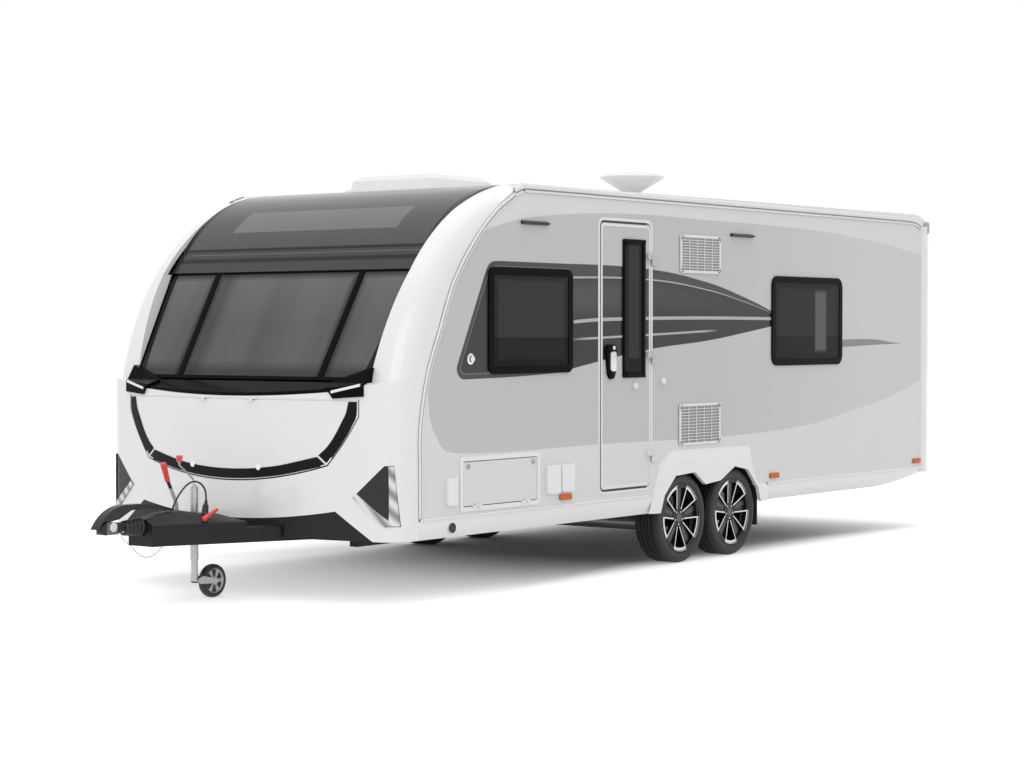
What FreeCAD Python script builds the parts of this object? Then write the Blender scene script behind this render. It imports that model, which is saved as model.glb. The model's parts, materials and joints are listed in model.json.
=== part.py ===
import FreeCAD, Part
import math
import os

# Twin-axle travel caravan, in millimetres.
# +Z is up, -Y is towards the towing hitch, +X is the nearside, where the entrance door is.
# The origin is on the ground, on the centreline, half way along the whole length.

V = FreeCAD.Vector
X_AXIS, Y_AXIS, Z_AXIS = V(1, 0, 0), V(0, 1, 0), V(0, 0, 1)
os.makedirs("parts", exist_ok=True)

# ------------------------------------------------------------------ driving dimensions
half_width = 1203              # body side skin to centreline
wall = 30                      # sandwich wall, roof and door thickness
floor_top = 485
floor_thickness = 45
skirt_bottom = 366
rear_wall_y = 3938             # outer face of the flat rear wall
rear_cap = 85                  # depth of the moulded rear panel behind the wall
roof_rear_z = 2550             # roof height at the rear wall
gutter_z = 2486                # top edge of the side walls
seam = 0.5                     # gap between two fixed panels that meet
reveal = 5                     # running gap round doors and lids

# front moulding, seen from the side: an upright, then two arcs that meet in line
nose_y = -2832                 # front face of the pillars
nose_bottom = 370
nose_turn_z = 900              # where the upright ends
nose_lower_radius = 1900
nose_lower_turn = 27           # degrees
nose_upper_radius = 1410
nose_end_y = -1587             # where the pillars meet the roof
pillar_round = 150             # vertical corner radius of the front
nose_apex_y = -2982            # front of the lower panel on the centreline
nose_bow_radius = 4145         # plan curve of the lower panel
ledge_low = (-2982, 1228)      # sloping ledge under the front windows, (y, z)
ledge_high = (-2830, 1296)

# front windows, (y, z) of the glass plane's outer face
glass_bottom = (-2806, 1305)
glass_top = (-2422, 1966)
glass_thickness = 18
glass_half_bottom = 968
glass_half_top = 1036
mullion_half_bottom = 583
mullion_half_top = 608
mullion_width = 44

# running gear
front_axle_y = 268
axle_spacing = 675
tyre_radius = 310
tyre_width = 205
rim_radius = 216               # bead seat
rim_flange_radius = 236
rim_face_x = half_width - 14
axle_z = tyre_radius
arch_room = 40                 # from the tyres to the end walls of the wheel box

# hitch
tow_y = -3962                  # centre of the coupling socket
socket_mouth_z = 438
socket_radius = 25.2
socket_depth = 45
shaft_z = 466                  # drawshaft centre
shaft_radius = 25
jockey_y = -3263
jockey_outer_radius = 24
jockey_wheel_radius = 100
jockey_wheel_width = 50
jockey_trail = 150
hub_gap = 0.3                  # running gap between a wheel's bore and its stub
fit = 0.3                      # gap between two pieces of the frame that are bolted together
drawbar_tip_y = -3600
drawbar_joint_y = -2500        # where the drawbar arms meet the side rails

# entrance door
door_front_y = -749
door_rear_y = -158
door_bottom_z = 560
door_top_z = 2310
door_corner = 40
hinge_x = half_width + 20


# ------------------------------------------------------------------ helpers
def save(name, shape):
    """Write one node; several solids in a node never touch."""
    shape.exportStep("parts/" + name + ".step")


def box(x0, x1, y0, y1, z0, z1):
    return Part.makeBox(x1 - x0, y1 - y0, z1 - z0, V(x0, y0, z0))


def cylinder(radius, start, along, length):
    return Part.makeCylinder(radius, length, V(*start), along)


def wire(points):
    """A closed outline. A point is (a, b, c); an arc is given as ("arc", middle, end)."""
    edges = []
    here = V(*points[0])
    for step in list(points[1:]) + [points[0]]:
        if step[0] == "arc":
            end = V(*step[2])
            edges.append(Part.Arc(here, V(*step[1]), end).toShape())
        else:
            end = V(*step)
            if here.distanceToPoint(end) < 1e-6:
                continue
            edges.append(Part.LineSegment(here, end).toShape())
        here = end
    return Part.Wire(edges)


def side_prism(outline, x0, x1):
    """Extrude a (y, z) outline from x0 to x1."""
    steps = []
    for step in outline:
        if step[0] == "arc":
            steps.append(("arc", (x0,) + tuple(step[1]), (x0,) + tuple(step[2])))
        else:
            steps.append((x0,) + tuple(step))
    return Part.Face(wire(steps)).extrude(V(x1 - x0, 0, 0))


def plan_prism(outline, z0, z1):
    """Extrude an (x, y) outline from z0 to z1."""
    steps = []
    for step in outline:
        if step[0] == "arc":
            steps.append(("arc", tuple(step[1]) + (z0,), tuple(step[2]) + (z0,)))
        else:
            steps.append(tuple(step) + (z0,))
    return Part.Face(wire(steps)).extrude(V(0, 0, z1 - z0))


def front_prism(outline, y0, y1):
    """Extrude an (x, z) outline from y0 to y1."""
    steps = []
    for step in outline:
        if step[0] == "arc":
            middle, end = step[1], step[2]
            steps.append(("arc", (middle[0], y0, middle[1]), (end[0], y0, end[1])))
        else:
            steps.append((step[0], y0, step[1]))
    return Part.Face(wire(steps)).extrude(V(0, y1 - y0, 0))


def other_side(shape):
    """The same piece on the offside."""
    return shape.mirror(V(0, 0, 0), X_AXIS)


def both_sides(shape):
    return Part.makeCompound([shape, other_side(shape)])


def rounded_panel(y0, y1, z0, z1, radius, x0, x1):
    """A plate in the side plane, with its four corners rounded."""
    plate = box(x0, x1, y0, y1, z0, z1)
    corners = [e for e in plate.Edges if abs(e.tangentAt(e.FirstParameter).x) > 0.99]
    return plate.makeFillet(radius, corners)


def frame_plate(y0, y1, z0, z1, radius, border, x0, x1):
    """A rounded plate with a rounded window through it."""
    outer = rounded_panel(y0, y1, z0, z1, radius, x0, x1)
    inner_radius = max(radius - border, 4)
    inner = rounded_panel(y0 + border, y1 - border, z0 + border, z1 - border,
                          inner_radius, x0 - 1, x1 + 1)
    return outer.cut(inner)


def block(centre, sizes):
    """A box given by its centre and its three whole sizes."""
    return Part.makeBox(sizes.x, sizes.y, sizes.z, centre - sizes * 0.5)


def hinge(centre, along, to_lid, to_body, length=90, radius=5, pin=2.5):
    """A butt hinge: the lid's barrel turns between the body's two, on the body's pin.

    to_lid and to_body are vectors from the pin to the faces that the leaves meet."""
    third = length / 3
    barrel_gap = 0.5
    middle = Part.makeCylinder(radius, third - 2 * barrel_gap, centre - along * (third / 2 - barrel_gap), along)
    middle_leaf = leaf_between(centre, along, to_lid, third - 2 * barrel_gap, radius)
    moving = middle.fuse(middle_leaf).cut(
        Part.makeCylinder(pin + hub_gap, length, centre - along * (length / 2), along))
    fixed = Part.makeCylinder(pin, length, centre - along * (length / 2), along)
    for sign in (1, -1):
        middle_of_end = centre + along * (sign * third)
        fixed = fixed.fuse(Part.makeCylinder(radius, third, middle_of_end - along * (third / 2), along))
        fixed = fixed.fuse(leaf_between(middle_of_end, along, to_body, third, radius))
    return moving, fixed


def leaf_between(centre, along, reach, length, thickness):
    """The flat leaf from a hinge barrel to what it is fixed to."""
    across = V(reach).normalize()
    side = along.cross(across)
    size = V(abs(along.x), abs(along.y), abs(along.z)) * length
    size = size + V(abs(across.x), abs(across.y), abs(across.z)) * reach.Length
    size = size + V(abs(side.x), abs(side.y), abs(side.z)) * thickness
    return block(centre + reach * 0.5, size)


# ------------------------------------------------------------------ the front moulding's form
def on_arc(centre, radius, degrees):
    """A (y, z) point of the nose profile; 0 degrees faces forward, 90 is the crown."""
    a = math.radians(degrees)
    return (centre[0] - radius * math.cos(a), centre[1] + radius * math.sin(a))


lower_centre = (nose_y + nose_lower_radius, nose_turn_z)
turn_point = on_arc(lower_centre, nose_lower_radius, nose_lower_turn)
upper_centre = (turn_point[0] + nose_upper_radius * math.cos(math.radians(nose_lower_turn)),
                turn_point[1] - nose_upper_radius * math.sin(math.radians(nose_lower_turn)))
nose_end_angle = math.degrees(math.acos((upper_centre[0] - nose_end_y) / nose_upper_radius))


def pillar_form(inset, back=nose_end_y):
    """The whole upright of the front, from ground trim to roof, moved in by inset."""
    low, high = nose_lower_radius - inset, nose_upper_radius - inset
    end = math.degrees(math.acos((upper_centre[0] - back) / high))
    half = half_width - inset
    outline = [
        (back, nose_bottom), (nose_y + inset, nose_bottom), (nose_y + inset, nose_turn_z),
        ("arc", on_arc(lower_centre, low, nose_lower_turn / 2),
         on_arc(lower_centre, low, nose_lower_turn)),
        ("arc", on_arc(upper_centre, high, (nose_lower_turn + end) / 2),
         on_arc(upper_centre, high, end)),
    ]
    solid = side_prism(outline, -half, half)
    rim = []
    for edge in solid.Edges:
        centre = edge.CenterOfMass
        on_side = abs(abs(centre.x) - half) < 1e-3
        behind = abs(centre.y - back) < 1e-3
        below = abs(centre.z - nose_bottom) < 1e-3
        if on_side and not behind and not below:
            rim.append(edge)
    return solid.makeFillet(pillar_round - inset, rim)


def bow(x, inset):
    """y of the lower panel's plan curve."""
    radius = nose_bow_radius - inset
    return nose_apex_y + nose_bow_radius - math.sqrt(radius * radius - x * x)


def lower_form(inset):
    """The bowed lower panel, with round corners and the sloping ledge on top."""
    half = half_width - inset
    back = nose_y + 400
    front = bow(half, inset)
    outline = [(half, back), (half, front), ("arc", (0, nose_apex_y + inset), (-half, front)),
               (-half, back)]
    solid = plan_prism(outline, nose_bottom, ledge_high[1])
    uprights = [e for e in solid.Edges
                if abs(e.CenterOfMass.y - front) < 1e-3 and abs(abs(e.CenterOfMass.x) - half) < 1e-3]
    solid = solid.makeFillet(pillar_round - inset, uprights)
    slope = (ledge_high[1] - ledge_low[1]) / (ledge_high[0] - ledge_low[0])
    drop = inset * math.sqrt(1 + slope * slope)
    ahead = nose_apex_y - 50
    under = [(ahead, nose_bottom - 1), (ahead, ledge_low[1] + (ahead - ledge_low[0]) * slope - drop),
             (ledge_high[0], ledge_high[1] - drop), (back, ledge_high[1] - drop), (back, nose_bottom - 1)]
    return solid.common(side_prism(under, -half - 1, half + 1))


nose_outer = pillar_form(0).fuse(lower_form(0)).removeSplitter()
nose_inner = pillar_form(wall, nose_end_y + 1).fuse(lower_form(wall))
nose_inner = nose_inner.fuse(box(-half_width + wall, half_width - wall, nose_y + 200, nose_end_y + 1,
                                 nose_bottom - 1, floor_top))
nose_shell = nose_outer.cut(nose_inner)

# ------------------------------------------------------------------ side walls
# the joint between side wall and front moulding, from the bottom up, (y, z)
crease = [(-2630, 484), (-2630, 1020),
          ("arc", (-2565, 1330), (-2441, 1617)),
          ("arc", (-2300, 1912), (-2092, 2167)),
          ("arc", (-1895, 2340), (-1640, gutter_z))]
wall_outline = crease + [(rear_wall_y, gutter_z), (rear_wall_y, 484)]

# openings cut through the side walls: y0, y1, z0, z1, corner radius
front_side_window = (-1943, -1089, 1349, 1977, 40)
rear_side_window = (1468, 2508, 1360, 1990, 60)
door_hole = (door_front_y - reveal, door_rear_y + reveal, door_bottom_z - reveal, door_top_z + reveal, door_corner)
locker_hole = (-2210, -1455, 540, 815, 12)
cassette_hole = (2200, 2580, 540, 900, 12)
rear_axle_y = front_axle_y + axle_spacing
arch_top_z = 2 * tyre_radius + 80
arch_hole = (front_axle_y - tyre_radius - arch_room, rear_axle_y + tyre_radius + arch_room, 480, arch_top_z, 20)
# the walls open to the wheels inside the outline of the trim, (y, z)
wheel_opening = [(front_axle_y - tyre_radius - 40, 480), (front_axle_y - tyre_radius - 40, arch_top_z - 140),
                 (front_axle_y - tyre_radius + 17, arch_top_z - 10), (rear_axle_y + 207, arch_top_z - 10),
                 (rear_axle_y + 272, arch_top_z - 140), (rear_axle_y + 297, arch_top_z - 190),
                 (rear_axle_y + 297, 480)]
wheel_opening = side_prism(wheel_opening, half_width - wall - 5, half_width + 5)
offside_windows = [(-1943, -1089, 1349, 1977, 40), (60, 760, 1500, 1977, 40), (1900, 2800, 1360, 1990, 60)]


def wall_cut(hole):
    y0, y1, z0, z1, radius = hole
    return rounded_panel(y0, y1, z0, z1, radius, half_width - wall - 5, half_width + 5)


side_blank = side_prism(wall_outline, half_width - wall, half_width)
nearside_wall = side_blank
hinge_zs = (760, 1420, 2080)
hinge_y = door_rear_y + 9
knuckle = 11
hinge_pin = 4
for hole in (front_side_window, rear_side_window, door_hole, locker_hole):
    nearside_wall = nearside_wall.cut(wall_cut(hole))
nearside_wall = nearside_wall.cut(wheel_opening)
for z in hinge_zs:
    leaf = box(half_width, hinge_x, hinge_y, hinge_y + 52, z - 40, z)
    pin = cylinder(hinge_pin, (hinge_x, hinge_y, z - 1), Z_AXIS, 39)
    nearside_wall = nearside_wall.fuse([leaf, cylinder(knuckle, (hinge_x, hinge_y, z - 40), Z_AXIS, 40), pin])
save("nearside_wall", nearside_wall.removeSplitter())

offside_wall = side_blank
for hole in offside_windows + [cassette_hole]:
    offside_wall = offside_wall.cut(wall_cut(hole))
offside_wall = offside_wall.cut(wheel_opening)

# the moulding gives way to the side walls, the windows and the gas locker lid
side_clear = side_prism([(crease[0][0], nose_bottom - 5)] + wall_outline[:-1] + [(rear_wall_y, nose_bottom - 5)],
                        -half_width - 5, half_width + 5)
front_moulding = nose_shell.cut(side_clear)

# the hole between the pillars, for ledge, windows and the dark upper panel, (x, z)
ledge_skin = 20
ledge_slope = (ledge_high[1] - ledge_low[1]) / (ledge_high[0] - ledge_low[0])
above_ledge = [(nose_apex_y - 60, ledge_low[1] - 60 * ledge_slope - ledge_skin),
               (ledge_high[0], ledge_high[1] - ledge_skin), (ledge_high[0] + 200, ledge_high[1] - ledge_skin),
               (nose_end_y + 10, ledge_high[1] - ledge_skin), (nose_end_y + 10, 2700),
               (nose_apex_y - 60, 2700)]
between_pillars = [(-glass_half_bottom, 1100), (glass_half_bottom, 1100), (glass_half_bottom, glass_bottom[1]),
                   (glass_half_top, glass_top[1]), (glass_half_top, 2700), (-glass_half_top, 2700),
                   (-glass_half_top, glass_top[1]), (-glass_half_bottom, glass_bottom[1])]
front_hole = side_prism(above_ledge, -1100, 1100).common(
    front_prism(between_pillars, nose_apex_y - 60, nose_end_y + 10))
front_moulding = front_moulding.cut(front_hole)

# return beside the glass: the pillar turns in to meet the flat window frame
glass_angle = math.atan2(glass_top[0] - glass_bottom[0], glass_top[1] - glass_bottom[1])
inward = (math.cos(glass_angle), -math.sin(glass_angle))     # (y, z) step into the cabin


def glass_point(share, depth):
    """(y, z) at a share of the windows' height, at a depth behind the glass plane."""
    return (glass_bottom[0] + (glass_top[0] - glass_bottom[0]) * share + inward[0] * depth,
            glass_bottom[1] + (glass_top[1] - glass_bottom[1]) * share + inward[1] * depth)


return_width = 12
return_strip = front_prism([(glass_half_bottom, glass_bottom[1]), (glass_half_bottom + return_width, glass_bottom[1]),
                            (glass_half_top + return_width, glass_top[1]), (glass_half_top, glass_top[1])],
                           nose_apex_y, nose_end_y)
return_depth = side_prism([glass_point(0, -120), glass_point(1, -120), glass_point(1, glass_thickness + 12),
                           glass_point(0, glass_thickness + 12)], 0, half_width)
pillar_return = return_strip.common(return_depth).common(pillar_form(0))
front_moulding = front_moulding.fuse([pillar_return, other_side(pillar_return)])

# gas locker lid: (x, z) outline, upright at the top so that its corners swing clear
lid_gap = 8
lid_skin = 5
lid_pan = 20                   # whole thickness where the pan backs the skin
lid_pan_inset = 16             # the pan stays this far inside the skin's edge
lid_top_z = 1190
lid_half = 948
lid_upright_z = 1100
lid_cheek = (868, 972)         # point on the side curve
lid_knee = (742, 812)
lid_low_z = 706
lid_hinge = (nose_apex_y - 6, lid_top_z + 8)
lid_hinge_x = 200


def lid_outline(gap):
    """The smile-shaped outline of the locker, moved out by gap."""
    top, half, low = lid_top_z + gap, lid_half + gap, lid_low_z - gap
    kx, kz = lid_knee[0] + gap * 0.7, lid_knee[1] - gap * 0.9
    cx, cz = lid_cheek[0] + gap * 0.8, lid_cheek[1] - gap * 0.6
    return [(-half, top), (half, top), (half, lid_upright_z), ("arc", (cx, cz), (kx, kz)),
            ("arc", (0, low), (-kx, kz)), ("arc", (-cx, cz), (-half, lid_upright_z))]


def lid_layer(thickness, inset):
    """The part of the bowed panel inside the lid's outline, from its face to a depth."""
    zone = front_prism(lid_outline(-inset), nose_apex_y - 60, nose_y + 60)
    return lower_form(0).cut(lower_form(thickness)).common(zone)


front_lid = lid_layer(lid_skin, 0).fuse(lid_layer(lid_pan, lid_pan_inset)).removeSplitter()
front_moulding = front_moulding.cut(front_prism(lid_outline(lid_gap), nose_apex_y - 60, nose_y + 130))
hinge_reach = bow(lid_hinge_x, 0) + 4 - lid_hinge[0]
for x in (-lid_hinge_x, lid_hinge_x):
    lid_leaf, body_leaf = hinge(V(x, lid_hinge[0], lid_hinge[1]), X_AXIS, V(0, 0, -18), V(0, hinge_reach, 0))
    lid_tab = block(V(x, lid_hinge[0] + hinge_reach / 2, lid_top_z - 8), V(29, hinge_reach, 5))
    front_lid = front_lid.fuse([lid_leaf, lid_tab])
    hinge_pad = block(V(x, bow(lid_hinge_x, 0) + 6, lid_hinge[1] + 3), V(90, 20, 16))
    front_moulding = front_moulding.fuse([body_leaf, hinge_pad.cut(lid_leaf)])

# valance: the dark panel under the white moulding, (x, z)
valance_centre_z = 474
valance_end = (797, 540)
valance_foot = 1040
valance_zone = [(-valance_foot, nose_bottom - 1), (valance_foot, nose_bottom - 1), valance_end,
                ("arc", (0, valance_centre_z), (-valance_end[0], valance_end[1]))]
front_moulding = front_moulding.cut(front_prism(valance_zone, nose_apex_y - 60, nose_y + 250))

# corner lamp recesses, (x, z), one each side
lamp_zone = [(915, 628), (1112, 815), (1160, 815), (1184, 460), (1112, 460)]
lamp_cut = front_prism(lamp_zone, nose_apex_y - 60, nose_y + 130)
corner_lamp = nose_shell.common(lamp_cut)
front_moulding = front_moulding.cut(lamp_cut).cut(other_side(lamp_cut))
save("front_moulding", front_moulding)
save("corner_lamps", both_sides(corner_lamp))
save("gas_locker_lid", front_lid)

rail_x = 560                   # inner face of the side rails
rail_width = 60
rail_top = floor_top - floor_thickness - seam
rail_bottom = rail_top - 150
arm_depth = 90
housing_half = 45              # half width of the overrun housing between the drawbar arms


def arm_inner_x(y):
    """x of a drawbar arm's inner face."""
    tip = housing_half + fit
    return tip + (rail_x - tip) * (y - drawbar_tip_y) / (drawbar_joint_y - drawbar_tip_y)


drawbar_notch = arm_inner_x(nose_apex_y + 60) + rail_width + 20
valance = nose_shell.common(front_prism(valance_zone, nose_apex_y - 60, nose_y + 250))
valance = valance.cut(box(-drawbar_notch, drawbar_notch, nose_apex_y - 60, nose_y + 250, nose_bottom - 5, rail_top + 15))
save("front_valance", valance)

# ------------------------------------------------------------------ front windows and upper panel
def glass_slab(first, last, near, far):
    """A slab along the glass plane: shares of its height, and depths behind its face."""
    return side_prism([glass_point(first, near), glass_point(last, near), glass_point(last, far),
                       glass_point(first, far)], -glass_half_top, glass_half_top)


def between(x_bottom_0, x_bottom_1, x_top_0, x_top_1):
    """A slanted (x, z) strip as tall as the windows and a little more."""
    return front_prism([(x_bottom_0, glass_bottom[1] - 60), (x_bottom_1, glass_bottom[1] - 60),
                        (x_top_1, glass_top[1] + 60), (x_top_0, glass_top[1] + 60)],
                       glass_bottom[0] - 120, glass_top[0] + 160)


half_mullion = mullion_width / 2
pane = glass_slab(0.03, 0.99, 0, glass_thickness)
centre_pane = pane.common(between(-mullion_half_bottom + half_mullion, mullion_half_bottom - half_mullion,
                                  -mullion_half_top + half_mullion, mullion_half_top - half_mullion))
side_pane = pane.common(between(mullion_half_bottom + half_mullion, glass_half_bottom - 14,
                                mullion_half_top + half_mullion, glass_half_top - 14))

frame_slab = glass_slab(0.0, 1.0, -4, glass_thickness + 12)
frame_slab = frame_slab.common(between(-glass_half_bottom + 1, glass_half_bottom - 1,
                                       -glass_half_top + 1, glass_half_top - 1))
pane_room = glass_slab(0.03, 0.99, -20, glass_thickness + 30)
window_frame = frame_slab
for x_low_0, x_low_1, x_top_0, x_top_1 in (
        (-mullion_half_bottom + half_mullion, mullion_half_bottom - half_mullion,
         -mullion_half_top + half_mullion, mullion_half_top - half_mullion),
        (mullion_half_bottom + half_mullion, glass_half_bottom - 14,
         mullion_half_top + half_mullion, glass_half_top - 14),
        (-glass_half_bottom + 14, -mullion_half_bottom - half_mullion,
         -glass_half_top + 14, -mullion_half_top - half_mullion)):
    window_frame = window_frame.cut(pane_room.common(between(x_low_0, x_low_1, x_top_0, x_top_1)))
ledge = side_prism([(nose_apex_y - 60, ledge_low[1] - 60 * ledge_slope - ledge_skin + seam),
                    (ledge_high[0], ledge_high[1] - ledge_skin + seam),
                    (glass_bottom[0] + 60, ledge_high[1] - ledge_skin + seam),
                    (glass_bottom[0] + 60, ledge_high[1]), (ledge_high[0], ledge_high[1]),
                    (nose_apex_y - 60, ledge_low[1] - 60 * ledge_slope)],
                   -glass_half_bottom + 1, glass_half_bottom - 1)
bow_trim = plan_prism([(half_width, nose_y + 400), (half_width, bow(half_width, 4)),
                       ("arc", (0, nose_apex_y + 4), (-half_width, bow(half_width, 4))),
                       (-half_width, nose_y + 400)], 1000, 1500)
ledge = ledge.common(bow_trim)
window_frame = window_frame.fuse(ledge).removeSplitter().cut(front_moulding)
save("front_window_frame", window_frame)

# dark panel from the eyebrow over the windows up to the roof
brow = (-2334, 2093)           # ridge of the eyebrow, (y, z)
brow_skin = 28
upper_mid = (-2035, 2368)
upper_end = (nose_end_y, 2512)
visor = 12                     # it stands this far ahead of the windows
upper_outline = [(glass_top[0] + 1, glass_top[1] + 2), (glass_top[0] - visor, glass_top[1] + 8),
                 (brow[0] - visor, brow[1] - 8), brow, ("arc", upper_mid, upper_end),
                 (nose_end_y, upper_end[1] - brow_skin),
                 ("arc", (upper_mid[0] + 20, upper_mid[1] - brow_skin), (brow[0] + 26, brow[1] - 12)),
                 (glass_top[0] + 30, glass_top[1] - 8)]
upper_panel = side_prism(upper_outline, -glass_half_top + seam, glass_half_top - seam)
sunroof_gap = 0.5
sunroof_zone = front_prism([(-690, 2235), (690, 2235), (690, 2375), (-690, 2375)], -2400, -1700)
sunroof_hole = front_prism([(-690 - sunroof_gap, 2235 - sunroof_gap), (690 + sunroof_gap, 2235 - sunroof_gap),
                            (690 + sunroof_gap, 2375 + sunroof_gap), (-690 - sunroof_gap, 2375 + sunroof_gap)],
                           -2400, -1700)
sunroof = upper_panel.common(sunroof_zone)
upper_panel = upper_panel.cut(sunroof_hole)
save("front_upper_panel", upper_panel)
save("front_windows", Part.makeCompound([centre_pane, side_pane, other_side(side_pane), sunroof]))

# ------------------------------------------------------------------ roof, rear and floor
nose_roof_z = on_arc(upper_centre, nose_upper_radius, nose_end_angle)[1]
roof_outline = [(nose_end_y, nose_roof_z), (rear_wall_y, roof_rear_z), (rear_wall_y, gutter_z + 20),
                (nose_end_y, gutter_z + seam)]
roof_panel = side_prism(roof_outline, -half_width, half_width)
flange_under = side_prism([(nose_end_y, gutter_z + seam), (rear_wall_y, gutter_z + seam), (rear_wall_y, roof_rear_z - wall / 2),
                           (nose_end_y, nose_roof_z - wall / 2)], half_width - wall, half_width)
roof_panel = roof_panel.fuse([flange_under, other_side(flange_under)]).removeSplitter()


def roof_z(y):
    """Height of the roof's outer face."""
    return nose_roof_z + (roof_rear_z - nose_roof_z) * (y - nose_end_y) / (rear_wall_y - nose_end_y)


# rooflight openings through the roof: x half size, y0, y1
main_light = (350, -1440, -780)
rear_light = (200, 1780, 2180)
for half, y0, y1 in (main_light, rear_light):
    roof_panel = roof_panel.cut(box(-half, half, y0, y1, 2400, 2700))
save("roof_panel", roof_panel)

rear_wall = box(-half_width + wall + seam, half_width - wall - seam, rear_wall_y - wall, rear_wall_y,
                floor_top + seam, gutter_z + 20 - seam)
rear_window_hole = (-560, 560, 1380, 1960)
rx0, rx1, rz0, rz1 = rear_window_hole
rear_cut = box(rx0, rx1, rear_wall_y - wall - 5, rear_wall_y + rear_cap + 5, rz0, rz1)
rear_wall = rear_wall.cut(rear_cut)

rear_moulding_outline = [(-half_width, rear_wall_y), (-half_width, rear_wall_y + 5),
                         ("arc", (-half_width + 24, rear_wall_y + rear_cap - 24),
                          (-half_width + 80, rear_wall_y + rear_cap)),
                         (half_width - 80, rear_wall_y + rear_cap),
                         ("arc", (half_width - 24, rear_wall_y + rear_cap - 24),
                          (half_width, rear_wall_y + 5)),
                         (half_width, rear_wall_y)]
rear_moulding = plan_prism(rear_moulding_outline, 443, gutter_z + 20)
rear_hollow = box(-half_width + wall + 40, half_width - wall - 40, rear_wall_y, rear_wall_y + rear_cap - 12,
                  443 - 1, gutter_z - 30)
rear_moulding = rear_moulding.cut(rear_hollow).cut(rear_cut)
save("rear_panel", rear_wall.fuse(rear_moulding).removeSplitter())
rear_window = box(rx0 + seam, rx1 - seam, rear_wall_y - 22, rear_wall_y + 2, rz0 + seam, rz1 - seam)

inner_half = half_width - wall
floor_front_y = nose_y + wall + 60
floor_panel = box(-inner_half + seam, inner_half - seam, floor_front_y, rear_wall_y - wall - seam,
                  floor_top - floor_thickness, floor_top)
floor_nose = pillar_form(wall + seam).fuse(box(-inner_half, inner_half, nose_end_y - 1, rear_wall_y, 0, 900))
floor_panel = floor_panel.common(floor_nose)
wheel_room_inner = 930
wheel_room = box(wheel_room_inner, inner_half + 10, arch_hole[0], arch_hole[1],
                 floor_top - floor_thickness - 5, floor_top + 5)
floor_panel = floor_panel.cut(wheel_room).cut(other_side(wheel_room))
# box over each pair of wheels, open below
arch_top = arch_hole[3] + 20
wheel_box = box(wheel_room_inner - 12, inner_half - seam, arch_hole[0] - 12, arch_hole[1] + 12, floor_top, arch_top)
wheel_box = wheel_box.cut(box(wheel_room_inner, inner_half, arch_hole[0], arch_hole[1], floor_top - 1, arch_top - 12))
save("floor_panel", floor_panel.fuse([wheel_box, other_side(wheel_box)]).removeSplitter())

# gas locker: bulkhead and shelf behind the lid, and the locker's own floor
bulkhead_y = -2420
board = 12
shelf_z = 1262
locker_inside = lower_form(wall + seam).fuse(pillar_form(wall + seam))
bulkhead = box(-half_width, half_width, bulkhead_y, bulkhead_y + board, floor_top + fit, shelf_z)
bulkhead = bulkhead.fuse(box(-half_width, half_width, nose_y + wall + 20, bulkhead_y + 1, shelf_z - board, shelf_z))
locker_floor = box(-half_width, half_width, nose_apex_y, floor_front_y - fit, floor_top - board, floor_top)
save("gas_locker_box", Part.makeCompound([bulkhead.common(locker_inside), locker_floor.common(locker_inside)]))

# ------------------------------------------------------------------ side trim
skirt_thickness = 22
skirt_x = half_width - skirt_thickness
skirt_front = box(skirt_x, half_width, crease[0][0] + seam, arch_hole[0] - 30, skirt_bottom, 484 - seam)
skirt_rear = box(skirt_x, half_width, arch_hole[1] + 30, rear_wall_y, skirt_bottom, 484 - seam)
save("side_skirts", Part.makeCompound([skirt_front, skirt_rear, other_side(skirt_front), other_side(skirt_rear)]))

# wheel arch trim: its openings have corners at these angles about each axle
spat_proud = 26
arch_edge_radius = tyre_radius + 20
front_arch_degrees = (148, 115, 71, 42)
rear_arch_degrees = (134, 96, 63, 28)
spat_crown_z = 2 * tyre_radius + 165


def arch_edge(radius, foot):
    """The lower edge of the trim, from its front foot to its rear one, (y, z)."""
    points = [(front_axle_y - radius, foot)]
    for axle, angles in ((front_axle_y, front_arch_degrees), (rear_axle_y, rear_arch_degrees)):
        for degrees in angles:
            a = math.radians(degrees)
            points.append((axle + radius * math.cos(a), axle_z + radius * math.sin(a)))
    return points + [(rear_axle_y + radius, foot)]


# the outer edge on the wall, and the edge of the flat face that its slope rises to:
# axle, y and z on the wall, y and z of the face
low, high = skirt_bottom, spat_crown_z
spat_corners = ((rear_axle_y, 455, low, 425, low), (rear_axle_y, 455, 489, 425, 462),
                (rear_axle_y, 357, 500, 345, 470), (rear_axle_y, 292, 535, 272, 515),
                (rear_axle_y, 257, high - 145, 207, high - 168), (rear_axle_y, 206, high - 12, 150, high - 82),
                (front_axle_y, -70, high, -45, high - 72), (front_axle_y, -178, high - 15, -135, high - 85),
                (front_axle_y, -309, high - 94, -252, high - 148), (front_axle_y, -440, low, -392, low))
edge = arch_edge(arch_edge_radius, skirt_bottom)
on_wall = edge + [(axle + y, z) for axle, y, z, face_y, face_z in spat_corners]
on_face = edge + [(axle + face_y, face_z) for axle, y, z, face_y, face_z in spat_corners]
spat_wires = [wire([(x, y, z) for y, z in outline])
              for x, outline in ((half_width + seam, on_wall), (half_width + spat_proud, on_face))]
save("wheel_arch_trims", both_sides(Part.makeLoft(spat_wires, True, True)))

# a flap behind each rear wheel, against the end of the wheel box
flap_thickness = 6
flap = box(rim_face_x - tyre_width, rim_face_x - 4, arch_hole[1] - fit - flap_thickness, arch_hole[1] - fit,
           191, floor_top - 8)
save("mudflaps", both_sides(flap))

rail_height = 26
rail = side_prism([(nose_end_y + 30, gutter_z - rail_height), (rear_wall_y, gutter_z - rail_height),
                   (rear_wall_y, gutter_z + 34), (nose_end_y + 30, gutter_z + 14)],
                  half_width + seam, half_width + 14)
save("awning_rails", both_sides(rail))

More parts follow.
